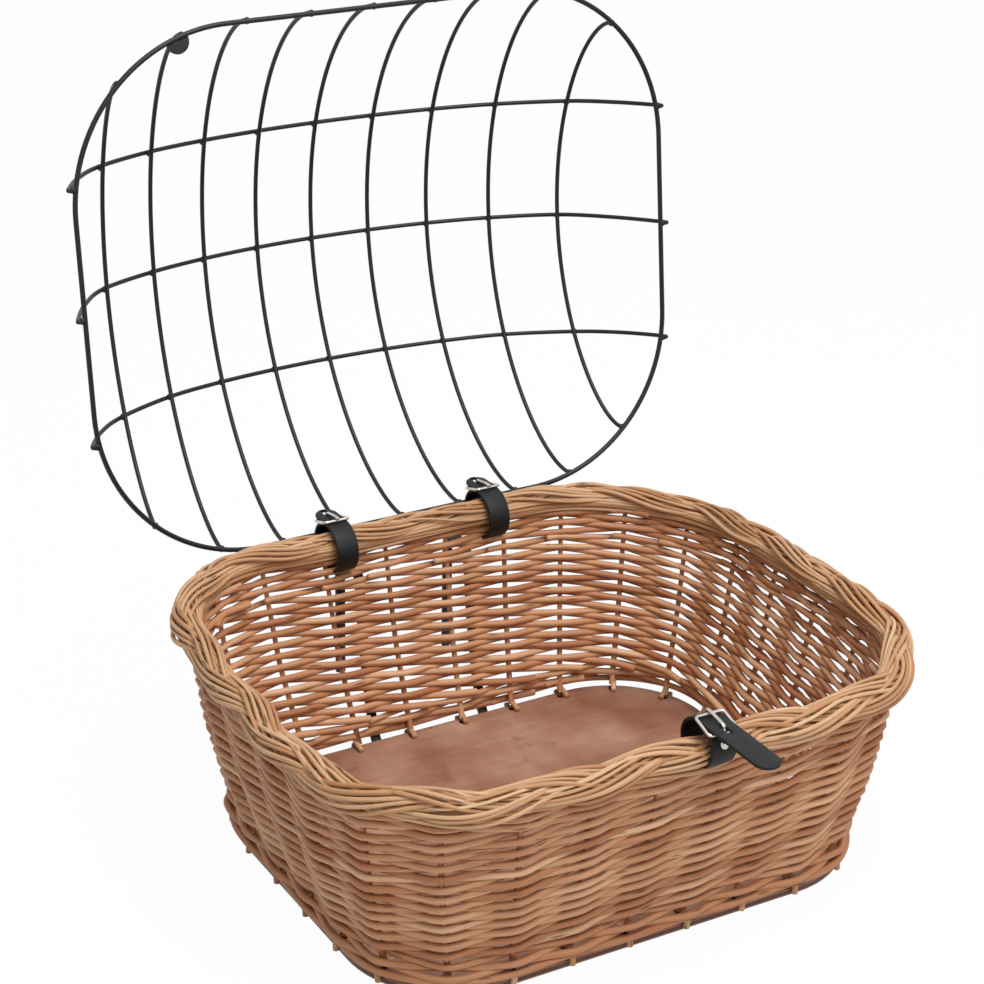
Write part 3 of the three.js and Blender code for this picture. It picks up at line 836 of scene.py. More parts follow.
@dataclass(frozen=True)
class RoundedRectangle:
    """A level outline that starts at the middle of its back edge and runs towards +X."""

    length: float
    width: float
    corner: float

    @property
    def perimeter(self) -> float:
        """The way round the outline."""
        return 2 * (self.length + self.width - 4 * self.corner) + 2 * math.pi * self.corner

    def place(self, share: float) -> tuple[Vector, Vector]:
        """Finds a point of the outline.

        Args:
            share: The share of the way round.

        Returns:
            The point and the direction that leads out of the outline there.
        """
        x, y = self.length / 2 - self.corner, self.width / 2 - self.corner
        corners = (Vector((x, y, 0)), Vector((x, -y, 0)), Vector((-x, -y, 0)), Vector((-x, y, 0)))
        runs = (x, 2 * y, 2 * x, 2 * y, x)
        starts = (Vector((0, y, 0)), *corners)
        walk = share % 1.0 * self.perimeter
        arc = self.corner * math.pi / 2
        for side, (start, run) in enumerate(zip(starts, runs)):
            turn = side * math.pi / 2
            outward = Vector((math.sin(turn), math.cos(turn), 0.0))
            forward = Vector((outward.y, -outward.x, 0.0))
            if walk <= run or side == len(runs) - 1:
                return start + outward * self.corner + forward * walk, outward
            walk -= run
            if walk <= arc:
                bend = walk / self.corner
                direction = outward * math.cos(bend) + forward * math.sin(bend)
                return corners[side] + direction * self.corner, direction
            walk -= arc
        raise ValueError("the walk left the outline")

    def points(self, count: int) -> list[Vector]:
        """Spaces points evenly round the outline."""
        return [self.place(index / count)[0] for index in range(count)]


def swell(share: float, start: float, length: float) -> float:
    """A smooth swelling on a closed line: 1 at its middle, 0 at its ends and beyond them."""
    along = (share - start) % 1.0 / length
    return math.sin(math.pi * along) ** 2 if along < 1.0 else 0.0


@dataclass(frozen=True)
class Wall:
    """The middle surface of the basket's wall, between the stakes' feet and the border."""

    foot: RoundedRectangle = RoundedRectangle(0.400, 0.316, 0.074)
    border: RoundedRectangle = RoundedRectangle(0.470, 0.404, 0.120)
    foot_height: float = 0.004
    border_height: float = 0.172
    belly: float = 1.4
    bends: tuple[float, ...] = (0.0, 0.2, 0.5, 1.0)
    stakes: int = 28
    unevenness: float = 0.007
    uneven_length: float = 0.20
    low_start: float = 0.05
    high_start: float = 0.75
    sag: float = 0.006
    sag_start: float = 0.57
    sag_length: float = 0.24
    bulge: float = 0.007
    bulge_start: float = 0.57
    bulge_length: float = 0.36

    def spread(self, height: float) -> float:
        """Tells how far the wall has spread at a height.

        Args:
            height: The height above the board's underside.

        Returns:
            0 at the stakes' feet and 1 at the border.
        """
        rise = (height - self.foot_height) / (self.border_height - self.foot_height)
        bend = next((place for place, limit in enumerate(self.bends) if limit >= min(rise, 1.0)), 1)
        low, high = self.bends[max(bend, 1) - 1], self.bends[max(bend, 1)]
        near, far = 1 - (1 - low) ** self.belly, 1 - (1 - high) ** self.belly
        return near + (rise - low) / (high - low) * (far - near)

    def place(self, share: float, height: float) -> tuple[Vector, Vector]:
        """Finds a point of the wall.

        Args:
            share: The share of the way round.
            height: The height above the board's underside.

        Returns:
            The point and the level direction that leads out of the wall there.
        """
        foot, foot_out = self.foot.place(share)
        top, top_out = self.middle(share)
        spread = self.spread(height)
        point = foot.lerp(top, spread)
        place = height + self.dip(share) * (height / self.border_height) ** 2
        return Vector((point.x, point.y, place)), foot_out.lerp(top_out, spread).normalized()

    def middle(self, share: float) -> tuple[Vector, Vector]:
        """A point of the border's middle line, bulged at the left end, and its way outwards."""
        point, outward = self.border.place(share)
        return point + outward * self.bulge * swell(share, self.bulge_start, self.bulge_length), outward

    def dip(self, share: float) -> float:
        """Tells how far the border stands off level.

        It is low at the back right and at the front left, and high at the back left.

        Args:
            share: The share of the way round, from the middle of the back.

        Returns:
            The distance upwards.
        """
        high = swell(share, self.high_start, self.uneven_length)
        low = swell(share, self.low_start, self.uneven_length)
        return self.unevenness * (high - low) - self.sag * swell(share, self.sag_start, self.sag_length)

    def stake_share(self, stake: float) -> float:
        """The share of the way round at which a stake stands."""
        return (stake + 0.5) / self.stakes


def along_edge(outward: Vector) -> Vector:
    """The level direction along an edge, from the one that leads out of it."""
    return Vector((outward.y, -outward.x, 0.0))


@dataclass(frozen=True)
class BaseBoard:
    """The plywood base, with a hole for each stake's foot near its edge."""

    outline: RoundedRectangle = RoundedRectangle(0.416, 0.332, 0.082)
    thickness: float = 0.010
    edge_round: float = 0.0010
    hole: float = 0.0032
    hole_lean: float = 1.25
    outline_points: int = 240
    hole_points: int = 20

    def build(self, wall: Wall) -> None:
        """Makes the board.

        Args:
            wall: The wall whose stakes stand in the board.
        """
        shrunk = RoundedRectangle(
            self.outline.length - 2 * self.edge_round,
            self.outline.width - 2 * self.edge_round,
            self.outline.corner - self.edge_round,
        )
        outlines = [shrunk.points(self.outline_points)]
        for stake in range(wall.stakes):
            centre, outward = wall.place(wall.stake_share(stake), self.thickness)
            along = along_edge(outward)
            outlines.append([
                centre + outward * side * self.hole * self.hole_lean + along * up * self.hole
                for side, up in circle(self.hole_points)
            ])
        mesh = cut_plate("plywood_base", outlines, self.thickness, self.edge_round)
        lift = Matrix.Translation(UP * self.thickness / 2)
        dress(mesh, STAINED_PLYWOOD, Body.BASKET, ["base_board"], lift)


@dataclass
class WillowWork:
    """Willow that follows the basket's wall, with small differences from rod to rod."""

    wall: Wall
    seed: int = 0
    draw: random.Random = field(init=False)

    def __post_init__(self) -> None:
        """Seeds the small differences."""
        self.draw = random.Random(self.seed)


@dataclass
class WovenWall(WillowWork):
    """The willow between the stakes: level rows, then a French rand, then level rows again.

    In a French rand every stake has a rod of its own. It starts beside the stake and climbs by one
    row at each stake that it passes, in front of one and behind the next.
    """

    seed: int = 11
    foot_rows: int = 4
    rand_rows: int = 25
    top_rows: int = 6
    nodes: int = 27
    first_height: float = 0.0155
    row_height: float = 0.0046
    top_row_height: float = 0.0039
    swing: float = 0.0041
    butt_radius: float = 0.00290
    tip_radius: float = 0.00235
    taper: float = 0.7
    girths: Pair = (0.95, 1.07)
    end_round: float = 0.0006
    foot_spread: float = 0.0085
    foot_curve: float = 1.3
    foot_straightness: float = 0.75
    foot_drop: float = 0.0032
    drop_side: Pair = (-0.51, -0.86)
    drop_reach: float = 0.040
    straightness: float = 0.85
    loose_tuck: float = 0.004
    row_starts: Pair = (0.10, 0.38)
    row_ends: Pair = (0.15, 0.60)
    row_sways: Pair = (0.0002, 0.0008)
    rand_starts: Pair = (0.20, 0.62)
    rand_ends: Pair = (0.10, 0.40)
    rand_sways: Pair = (0.0002, 0.0009)
    sway_rate: float = 0.9
    rods_in_row: int = 2
    steps: int = 8
    sides: int = 10

    def build(self) -> None:
        """Makes the level rows, one piece each, and the rand between them."""
        nodes = [f"weave_row_{node + 1:02d}" for node in range(self.nodes)]
        for row in range(self.foot_rows):
            self.weave_row(row, f"willow_foot_row_{row + 1}", nodes[row:row + 1])
        rand = Sweep()
        for stake in range(self.wall.stakes):
            self.lay_rod(rand, stake)
        dress(rand.mesh("willow_rand"), BUFF_WILLOW, Body.BASKET, nodes[self.foot_rows:])
        for row in range(self.top_rows):
            self.weave_row(self.foot_rows + self.rand_rows + row, f"willow_top_row_{row + 1}", [])

    def height(self, row: float) -> float:
        """The height of a row above the board's underside."""
        above = max(0.0, row - self.foot_rows - self.rand_rows + 1)
        return self.first_height + (row - above) * self.row_height + above * self.top_row_height

    def weave_row(self, row: int, name: str, replaced: Sequence[str]) -> None:
        """Weaves the rods of a level row, each from its tip to its butt.

        Args:
            row: The row's number from the bottom.
            name: The piece's name.
            replaced: The nodes that the row stands for.
        """
        sweep = Sweep()
        span = self.wall.stakes // self.rods_in_row
        start = 2 * self.draw.randrange(span) + (row + 1) % 2
        for rod in range(self.rods_in_row):
            first = start + rod * span
            last = first + span
            ends = (first - self.draw.uniform(*self.row_starts), last + self.draw.uniform(*self.row_ends))
            sway = self.drawn_sway(self.row_sways)
            line = []
            for place in self.places(*ends):
                held = min(max(place, first), last)
                line.append(self.rod_point(row, place, held + row, abs(place - held), sway))
            self.add_rod(sweep, line[::-1])
        dress(sweep.mesh(name), BUFF_WILLOW, Body.BASKET, replaced)

    def lay_rod(self, sweep: Sweep, stake: int) -> None:
        """Lays one rod of the rand, from its butt to its tip.

        Args:
            sweep: The mesh that takes the rod.
            stake: The stake beside which the rod starts.
        """
        climb = self.rand_rows - 1
        ends = (-self.draw.uniform(*self.rand_starts), climb + self.draw.uniform(*self.rand_ends))
        sway = self.drawn_sway(self.rand_sways)
        line = []
        for place in self.places(*ends):
            held = min(max(place, 0.0), float(climb))
            row, loose = self.foot_rows + place, abs(place - held)
            line.append(self.rod_point(row, stake - place, held + 1, loose, sway))
        self.add_rod(sweep, line)

    def drawn_sway(self, reach: Pair) -> Pair:
        """Draws where a rod's slow sway up and down starts, and how far it goes."""
        return self.draw.uniform(0.0, WHOLE_TURN), self.draw.uniform(*reach)

    def places(self, first: float, last: float) -> list[float]:
        """Lists the places along a rod, counted in stakes, at which its line is drawn."""
        count = int((last - first) * self.steps)
        return [first + (last - first) * step / count for step in range(count + 1)]

    def add_rod(self, sweep: Sweep, line: Line) -> None:
        """Adds a rod that tapers from its butt to its tip.

        Args:
            sweep: The mesh that takes the rod.
            line: The rod's middle line, from its butt.
        """
        girth = self.draw.uniform(*self.girths)
        extra = self.butt_radius - self.tip_radius
        sweep.add(
            line, circle(self.sides),
            lambda share: girth * (self.tip_radius + extra * (1 - share) ** self.taper),
            self.draw.random(), end_round=self.end_round,
        )

    def rod_point(self, row: float, stake: float, turns: float, loose: float, sway: Pair) -> Vector:
        """Finds a point of a rod's middle line.

        Args:
            row: The height of the point, counted in rows.
            stake: The place along the wall, counted in stakes.
            turns: How many stakes the rod has passed; it is outside at every even one.
            loose: How far, in stakes, the rod's end lies beyond the last stake that holds it.
            sway: Where the rod's slow sway up and down starts, and how far it goes.

        Returns:
            The point.
        """
        turn = math.pi * turns
        # the first two parts of a triangle wave: bent at the stakes, nearly straight between them
        wave = 0.90 * (math.cos(turn) + math.cos(3 * turn) / 9)
        lift = sway[1] * math.sin(sway[0] + self.sway_rate * stake)
        share = self.wall.stake_share(stake)
        low = min(max(0.0, 1.0 - row / self.foot_rows), 1.0)
        lift -= self.drop(share) * min(max(0.0, 1.0 - row / (self.foot_rows + self.rand_rows)), 1.0)
        height = self.height(row) + lift
        point, outward = self.wall.place(share, height)
        stake_below = math.floor(stake)
        near, far = (
            self.wall.place(self.wall.stake_share(stake_below + step), height)[0] for step in (0, 1)
        )
        point = point.lerp(near.lerp(far, stake - stake_below), self.straightness * (1.0 - low))
        # the lowest row passes outside the board's edge, nearly straight
        wave *= 1.0 - self.foot_straightness * max(0.0, 1.0 - row)
        out = wave * self.swing + self.foot_spread * low ** self.foot_curve - loose * self.loose_tuck
        return point + outward * out

    def drop(self, share: float) -> float:
        """Tells how far the lowest row lies below its mean height; it is lowest at the front left.

        Args:
            share: The share of the way round.

        Returns:
            The distance downwards.
        """
        foot = self.wall.foot.place(share)[0]
        towards = self.drop_side[0] * foot.x + self.drop_side[1] * foot.y
        near = min(max(towards / self.drop_reach, -1.0), 1.0)
        # a smooth step from 0 to 1
        return self.foot_drop * (0.5 + 0.25 * near * (3.0 - near ** 2))


@dataclass
class Stakes(WillowWork):
    """The uprights, their feet laid over the board's edge, and the stubs turned down round it."""

    seed: int = 23
    board: BaseBoard = BaseBoard()
    radius: float = 0.0025
    top_radius: float = 0.0019
    foot: float = 0.0140
    top: float = 0.166
    steps: int = 22
    sides: int = 8
    end_round: float = 0.0004
    peg_radius: float = 0.0022
    peg_inside: float = 0.0135
    peg_shorter: float = 0.002
    peg_outside: float = -0.0012
    peg_rest: float = 0.8
    peg_rise: float = 0.0036
    peg_sideways: float = 0.0015
    stub_radius: float = 0.0024
    stub_top: float = 0.0100
    stub_bottom: float = 0.0028
    stub_shorter: float = 0.0012
    stub_gap: float = 0.0004
    stub_lean: float = 0.0015
    stub_sides: int = 10
    stub_end_round: float = 0.0005

    def build(self) -> None:
        """Makes the stakes, and their feet and stubs as another piece."""
        stakes, stubs = Sweep(), Sweep()
        for stake in range(self.wall.stakes):
            share = self.wall.stake_share(stake)
            heights = [
                self.foot + (self.top - self.foot) * step / self.steps for step in range(self.steps + 1)
            ]
            line = [self.wall.place(share, height)[0] for height in heights]
            stakes.add(
                line, circle(self.sides), lambda way: self.radius + (self.top_radius - self.radius) * way,
                self.draw.random(), upwards=along_edge(self.wall.place(share, self.top)[1]),
                end_round=self.end_round,
            )
            self.add_peg(stubs, share)
            self.add_stub(stubs, share)
        dress(stakes.mesh("willow_stakes"), BUFF_WILLOW, Body.BASKET)
        dress(stubs.mesh("willow_stubs"), PALE_WILLOW, Body.BASKET)

    def add_peg(self, stubs: Sweep, share: float) -> None:
        """Adds the foot of one stake, which leads inwards and rests on the board.

        Args:
            stubs: The mesh that takes the foot.
            share: The stake's share of the way round.
        """
        edge, outward = self.board.outline.place(share)
        rest = UP * (self.board.thickness + self.peg_radius * self.peg_rest)
        inner = edge - outward * (self.peg_inside - self.draw.uniform(0.0, self.peg_shorter)) + rest
        sideways = self.draw.uniform(-self.peg_sideways, self.peg_sideways)
        outer = edge + outward * self.peg_outside + along_edge(outward) * sideways
        outer += rest + UP * self.peg_rise
        stubs.add(
            [outer, outer.lerp(inner, 0.5), inner], circle(self.stub_sides), self.peg_radius,
            self.draw.random(), end_round=self.stub_end_round,
        )

    def add_stub(self, stubs: Sweep, share: float) -> None:
        """Adds the stub beside one stake.

        Args:
            stubs: The mesh that takes the stub.
            share: The stake's share of the way round.
        """
        edge, outward = self.board.outline.place(share)
        beside = edge + outward * (self.stub_radius + self.stub_gap)
        foot = beside + UP * (self.stub_bottom + self.draw.uniform(0.0, self.stub_shorter))
        top = beside + along_edge(outward) * self.draw.uniform(-1, 1) * self.stub_lean + UP * self.stub_top
        stubs.add(
            [foot, top], circle(self.stub_sides), self.stub_radius, self.draw.random(),
            upwards=outward, end_round=self.stub_end_round,
        )


@dataclass(frozen=True)
class Hoops:
    """Rods that follow the border all round, between two turns from its crest inwards."""

    count: int
    turns: Pair
    sink: float
    radius: float


@dataclass
class PlaitedBorder(WillowWork):
    """A three-strand plait of paler rods over the bent-down ends of the stakes."""

    seed: int = 37
    width: float = 0.030
    height: float = 0.031
    strands: int = 3
    rods_in_strand: int = 5
    waves: int = 6
    rod_radius: float = 0.00180
    tip_radius: float = 0.00140
    rod_pitch: float = 2.12
    girths: Pair = (0.82, 1.16)
    swing: float = 0.0105
    weave: float = 0.0027
    crest: float = 0.0046
    tilt: float = 0.45
    pieces: int = 3
    overlap: float = 1.03
    tuck: float = 0.0040
    tuck_rate: float = 30
    drifts: Pair = (0.0002, 0.0008)
    drift_rate: float = 40
    strays: Pair = (0.0003, 0.0013)
    stray_rate: float = 23
    samples: int = 168
    sides: int = 8
    end_round: float = 0.0006
    stake_ends: Hoops = Hoops(10, (-2.3, 1.5), 0.0062, 0.0025)
    inner_rods: Hoops = Hoops(5, (1.45, 2.35), 0.0020, 0.0017)
    hoop_sway: float = 0.0012
    hoop_waves: int = 7

    def surface(self, walk: float, across: float, lift: float) -> Vector:
        """Finds a point near the border's rounded surface.

        Args:
            walk: The way along the border's middle line.
            across: The way over the border, from its crest towards the inside.
            lift: How far above the mean surface the point lies.

        Returns:
            The point.
        """
        share = walk / self.wall.border.perimeter
        middle, outward = self.wall.middle(share)
        height = self.wall.border_height + self.wall.dip(share)
        side, rise = self.width / 2 - self.crest, self.height / 2 - self.crest
        turn = self.tilt - across / ((side + rise) / 2)
        return (
            middle + outward * (side + lift) * math.sin(turn)
            + UP * (height + (rise + lift) * math.cos(turn))
        )

    def build(self) -> None:
        """Makes the plait and the rods inside it."""
        sweep = Sweep()
        for strand in range(self.strands):
            for rod in range(self.rods_in_strand):
                self.add_rod(sweep, strand, rod)
        self.add_hoops(sweep, self.stake_ends)
        self.add_hoops(sweep, self.inner_rods)
        dress(sweep.mesh("plaited_border"), PALE_WILLOW, Body.BASKET, ["stakes_and_border"])

    def add_rod(self, sweep: Sweep, strand: int, rod: int) -> None:
        """Adds one rod of a strand, in lengths that tuck in where they meet.

        Args:
            sweep: The mesh that takes the rod.
            strand: The strand's number.
            rod: The rod's number across the strand.
        """
        perimeter = self.wall.border.perimeter
        rate = 2 * math.pi * self.waves / perimeter
        shift = (rod - (self.rods_in_strand - 1) / 2) * self.rod_pitch * self.rod_radius
        start = self.draw.random()
        for piece in range(self.pieces):
            begin = (start + piece / self.pieces) * perimeter
            length = perimeter / self.pieces * self.overlap
            wobble, drift = self.draw.uniform(0.0, WHOLE_TURN), self.draw.uniform(*self.drifts)
            stray, girth = self.draw.uniform(*self.strays), self.draw.uniform(*self.girths)
            line = []
            for step in range(self.samples + 1):
                share = step / self.samples
                walk = begin + share * length
                phase = rate * walk + strand * 2 * math.pi / self.strands
                slope = self.swing * rate * math.cos(phase)
                lean = math.hypot(1.0, slope)
                across = self.swing * math.sin(phase) + shift / lean
                across += stray * math.sin(wobble + self.stray_rate * walk)
                ends = (share, 1.0 - share)
                tucked = sum(max(0.0, 1.0 - end * self.tuck_rate) for end in ends)
                lift = self.weave * math.sin(2 * phase) - self.tuck * tucked
                lift += drift * math.sin(wobble + self.drift_rate * walk)
                line.append(self.surface(walk - shift * slope / lean, across, lift))
            sweep.add(
                line, circle(self.sides),
                lambda share: girth * (self.rod_radius + (self.tip_radius - self.rod_radius) * share),
                self.draw.random(), end_round=self.end_round,
            )

    def add_hoops(self, sweep: Sweep, hoops: Hoops) -> None:
        """Adds rods all round: the bent-down stakes, or rods along the border's inside.

        Args:
            sweep: The mesh that takes the rods.
            hoops: How many there are, where they lie and how thick they are.
        """
        perimeter = self.wall.border.perimeter
        girth = math.pi * ((self.width + self.height) / 2 - 2 * self.crest)
        low, high = hoops.turns
        for rod in range(hoops.count):
            turn = low + (high - low) * rod / (hoops.count - 1)
            wobble = self.draw.uniform(0.0, WHOLE_TURN)
            line = []
            for step in range(self.samples):
                share = step / self.samples
                sway = self.hoop_sway * math.sin(wobble + 2 * math.pi * self.hoop_waves * share)
                across = turn / (2 * math.pi) * girth + sway
                line.append(self.surface(share * perimeter, across, -hoops.sink))
            sweep.add(line, circle(self.sides), hoops.radius, self.draw.random(), endless=True)


@dataclass
class WireLid:
    """A flat rim wire with a dome of cross wires and long wires, open at rest."""

    rim: RoundedRectangle = RoundedRectangle(0.510, 0.410, 0.131)
    rim_radius: float = 0.0020
    wire_radius: float = 0.00175
    sides: int = 12
    end_round: float = 0.0006
    rim_points: int = 240
    cross_steps: int = 64
    long_steps: int = 8
    gap: float = 0.0003
    dome: float = 0.135
    dome_side_curve: float = 0.525
    dome_end_curve: float = 1.25
    cross_wires: int = 9
    cross_spacing: float = 0.0533
    cross_lean: float = 0.04
    long_wires: int = 3
    long_spacing: float = 0.098
    long_tip: float = 0.0020
    open_angle: float = 97.0
    hinge: Triple = (0.0, 0.221, 0.177)
    stop_radius: float = 0.009
    stop_thickness: float = 0.003
    stop_offset: float = 0.165
    stop_edge: float = 0.0006
    weld_size: float = 0.0029
    weld_flatness: float = 0.8
    nudge: float = 0.02

    @property
    def placing(self) -> Matrix:
        """The lid's own frame: the hinge line along X, the lid towards -Y and its dome up."""
        turn = Matrix.Rotation(-math.radians(self.open_angle), 4, "X")
        return Matrix.Translation(Vector(self.hinge)) @ turn

    @property
    def on_rim(self) -> float:
        """How far a cross wire's middle lies from the rim's."""
        return self.rim_radius + self.wire_radius + self.gap

    def inset(self, x: float) -> float:
        """How far the rim's front and back edges draw in at a place along X."""
        reach = max(0.0, abs(x) - (self.rim.length / 2 - self.rim.corner))
        return self.rim.corner - math.sqrt(self.rim.corner ** 2 - reach ** 2)

    def cross_place(self, wire: int) -> float:
        """The place of a cross wire's ends along X."""
        return (wire - (self.cross_wires - 1) / 2) * self.cross_spacing

    def long_place(self, wire: int) -> float:
        """The place of a long wire between the hinge edge and the front edge."""
        return -self.rim.width / 2 + ((self.long_wires - 1) / 2 - wire) * self.long_spacing

    def cross_point(self, wire: int, turn: float) -> Vector:
        """Finds a point of a cross wire.

        Args:
            wire: The wire's number.
            turn: 0 at the hinge edge and pi at the front edge.

        Returns:
            The point, in the lid's frame.
        """
        place = self.cross_place(wire)
        half = self.rim.width / 2 - self.inset(place)
        rise = max(math.sin(turn), 0.0)
        x = place * (1 - self.cross_lean * rise)
        crown = self.dome * (1 - (2 * x / self.rim.length) ** 2) ** self.dome_side_curve
        y = -self.rim.width / 2 + half * math.cos(turn)
        return Vector((x, y, self.on_rim + crown * rise ** self.dome_end_curve))

    def crossing_turn(self, wire: int, long_wire: int) -> float:
        """The turn at which a cross wire passes under a long wire."""
        half = self.rim.width / 2 - self.inset(self.cross_place(wire))
        return math.acos((self.long_place(long_wire) + self.rim.width / 2) / half)

    def crossing(self, wire: int, long_wire: int) -> tuple[Vector, Vector]:
        """Finds where a long wire lies on a cross wire.

        Args:
            wire: The cross wire's number.
            long_wire: The long wire's number.

        Returns:
            The middles of the cross wire and of the long wire there.
        """
        turn = self.crossing_turn(wire, long_wire)
        here = self.cross_point(wire, turn)
        along = self.cross_point(wire, turn + self.nudge) - self.cross_point(wire, turn - self.nudge)
        low, high = max(wire - 1, 0), min(wire + 1, self.cross_wires - 1)
        across = self.cross_point(high, self.crossing_turn(high, long_wire))
        across = across - self.cross_point(low, self.crossing_turn(low, long_wire))
        outward = across.cross(along).normalized()
        outward = outward * math.copysign(2 * self.wire_radius + self.gap, outward.z)
        return here, here + outward

    def long_line(self, long_wire: int) -> list[Vector]:
        """Finds the middle line of a long wire.

        Args:
            long_wire: The wire's number.

        Returns:
            The line's points, in the lid's frame.
        """
        y = self.long_place(long_wire)
        beyond = max(0.0, abs(y + self.rim.width / 2) - (self.rim.width / 2 - self.rim.corner))
        side = self.rim.length / 2 - self.rim.corner
        side += math.sqrt(self.rim.corner ** 2 - beyond ** 2) + self.on_rim
        middle = [self.crossing(wire, long_wire)[1] for wire in range(self.cross_wires)]
        ends = []
        for sign, nearest in ((-1, middle[0]), (1, middle[-1])):
            bulge = Vector((sign * self.on_rim, 0.0, self.on_rim))
            ends.append([
                Vector((sign * side, y, -self.long_tip)),
                Vector((sign * side, y, self.on_rim)),
                Vector((sign * side, y, 0.0)).lerp(nearest, 0.5) + bulge,
            ])
        return smooth_line([*ends[0], *middle, *reversed(ends[1])], self.long_steps)

    def build(self) -> None:
        """Makes the rim, the wires, their welds and the stop."""
        offset = Vector((0.0, -self.rim.width / 2, 0.0))
        rim = [point + offset for point in self.rim.points(self.rim_points)]
        self.place_wire(
            Sweep().add(rim, circle(self.sides), self.rim_radius, endless=True), "rim", "rim_wire",
        )
        turns = [math.pi * step / self.cross_steps for step in range(self.cross_steps + 1)]
        cross = [[self.cross_point(wire, turn) for turn in turns] for wire in range(self.cross_wires)]
        long = [self.long_line(wire) for wire in range(self.long_wires)]
        for kind, lines, upwards in (("cross", cross, ACROSS), ("long", long, BACKWARD)):
            for number, line in enumerate(lines, 1):
                sweep = Sweep().add(
                    line, circle(self.sides), self.wire_radius, upwards=upwards, end_round=self.end_round,
                )
                self.place_wire(sweep, f"{kind}_{number}", f"{kind}_wire_{number}")
        self.add_welds()
        self.add_stop()

    def place_wire(self, sweep: Sweep, name: str, node: str) -> None:
        """Puts a wire in its place on the open lid."""
        mesh = sweep.mesh(f"wire_{name}")
        dress(mesh, POWDER_COAT, Body.LID, [f"lid_{node}"], self.placing)

    def add_welds(self) -> None:
        """Adds a small bead of weld where two wires cross or end on the rim."""
        beads = []
        for wire in range(self.cross_wires):
            for long_wire in range(self.long_wires):
                under, over = self.crossing(wire, long_wire)
                beads.append(under.lerp(over, 0.5))
            for turn in (0.0, math.pi):
                beads.append(self.cross_point(wire, turn) - UP * self.on_rim / 2)
        for long_wire in range(self.long_wires):
            line = self.long_line(long_wire)
            for sign, tip in ((-1, line[0]), (1, line[-1])):
                beads.append(Vector((tip.x - sign * self.on_rim / 2, tip.y, 0.0)))
        work = bmesh.new()
        for bead in beads:
            place = Matrix.Translation(bead) @ Matrix.Diagonal((1.0, 1.0, self.weld_flatness, 1.0))
            bmesh.ops.create_icosphere(work, subdivisions=2, radius=self.weld_size, matrix=place)
        mesh = bpy.data.meshes.new("wire_welds")
        work.to_mesh(mesh)
        work.free()
        mesh.shade_smooth()
        dress(mesh, POWDER_COAT, Body.LID, (), self.placing)

    def add_stop(self) -> None:
        """Adds the half-round rubber stop on the inside of the rim, near its front left corner."""
        reach = max(0.0, self.stop_offset - (self.rim.length / 2 - self.rim.corner))
        outline = half_circle(self.stop_radius - self.stop_edge, self.stop_edge)
        mesh = cut_plate("rubber_stop", [outline], self.stop_thickness, self.stop_edge)
        mesh.transform(Matrix.Translation(BACKWARD * (self.rim_radius + self.gap)))
        mesh.transform(Matrix.Rotation(-math.asin(reach / self.rim.corner), 4, "Z"))
        corner = Vector((-self.stop_offset, self.inset(self.stop_offset) - self.rim.width, 0.0))
        mesh.transform(Matrix.Translation(corner))
        dress(mesh, BLACK_RUBBER, Body.LID, ["lid_tab"], self.placing)


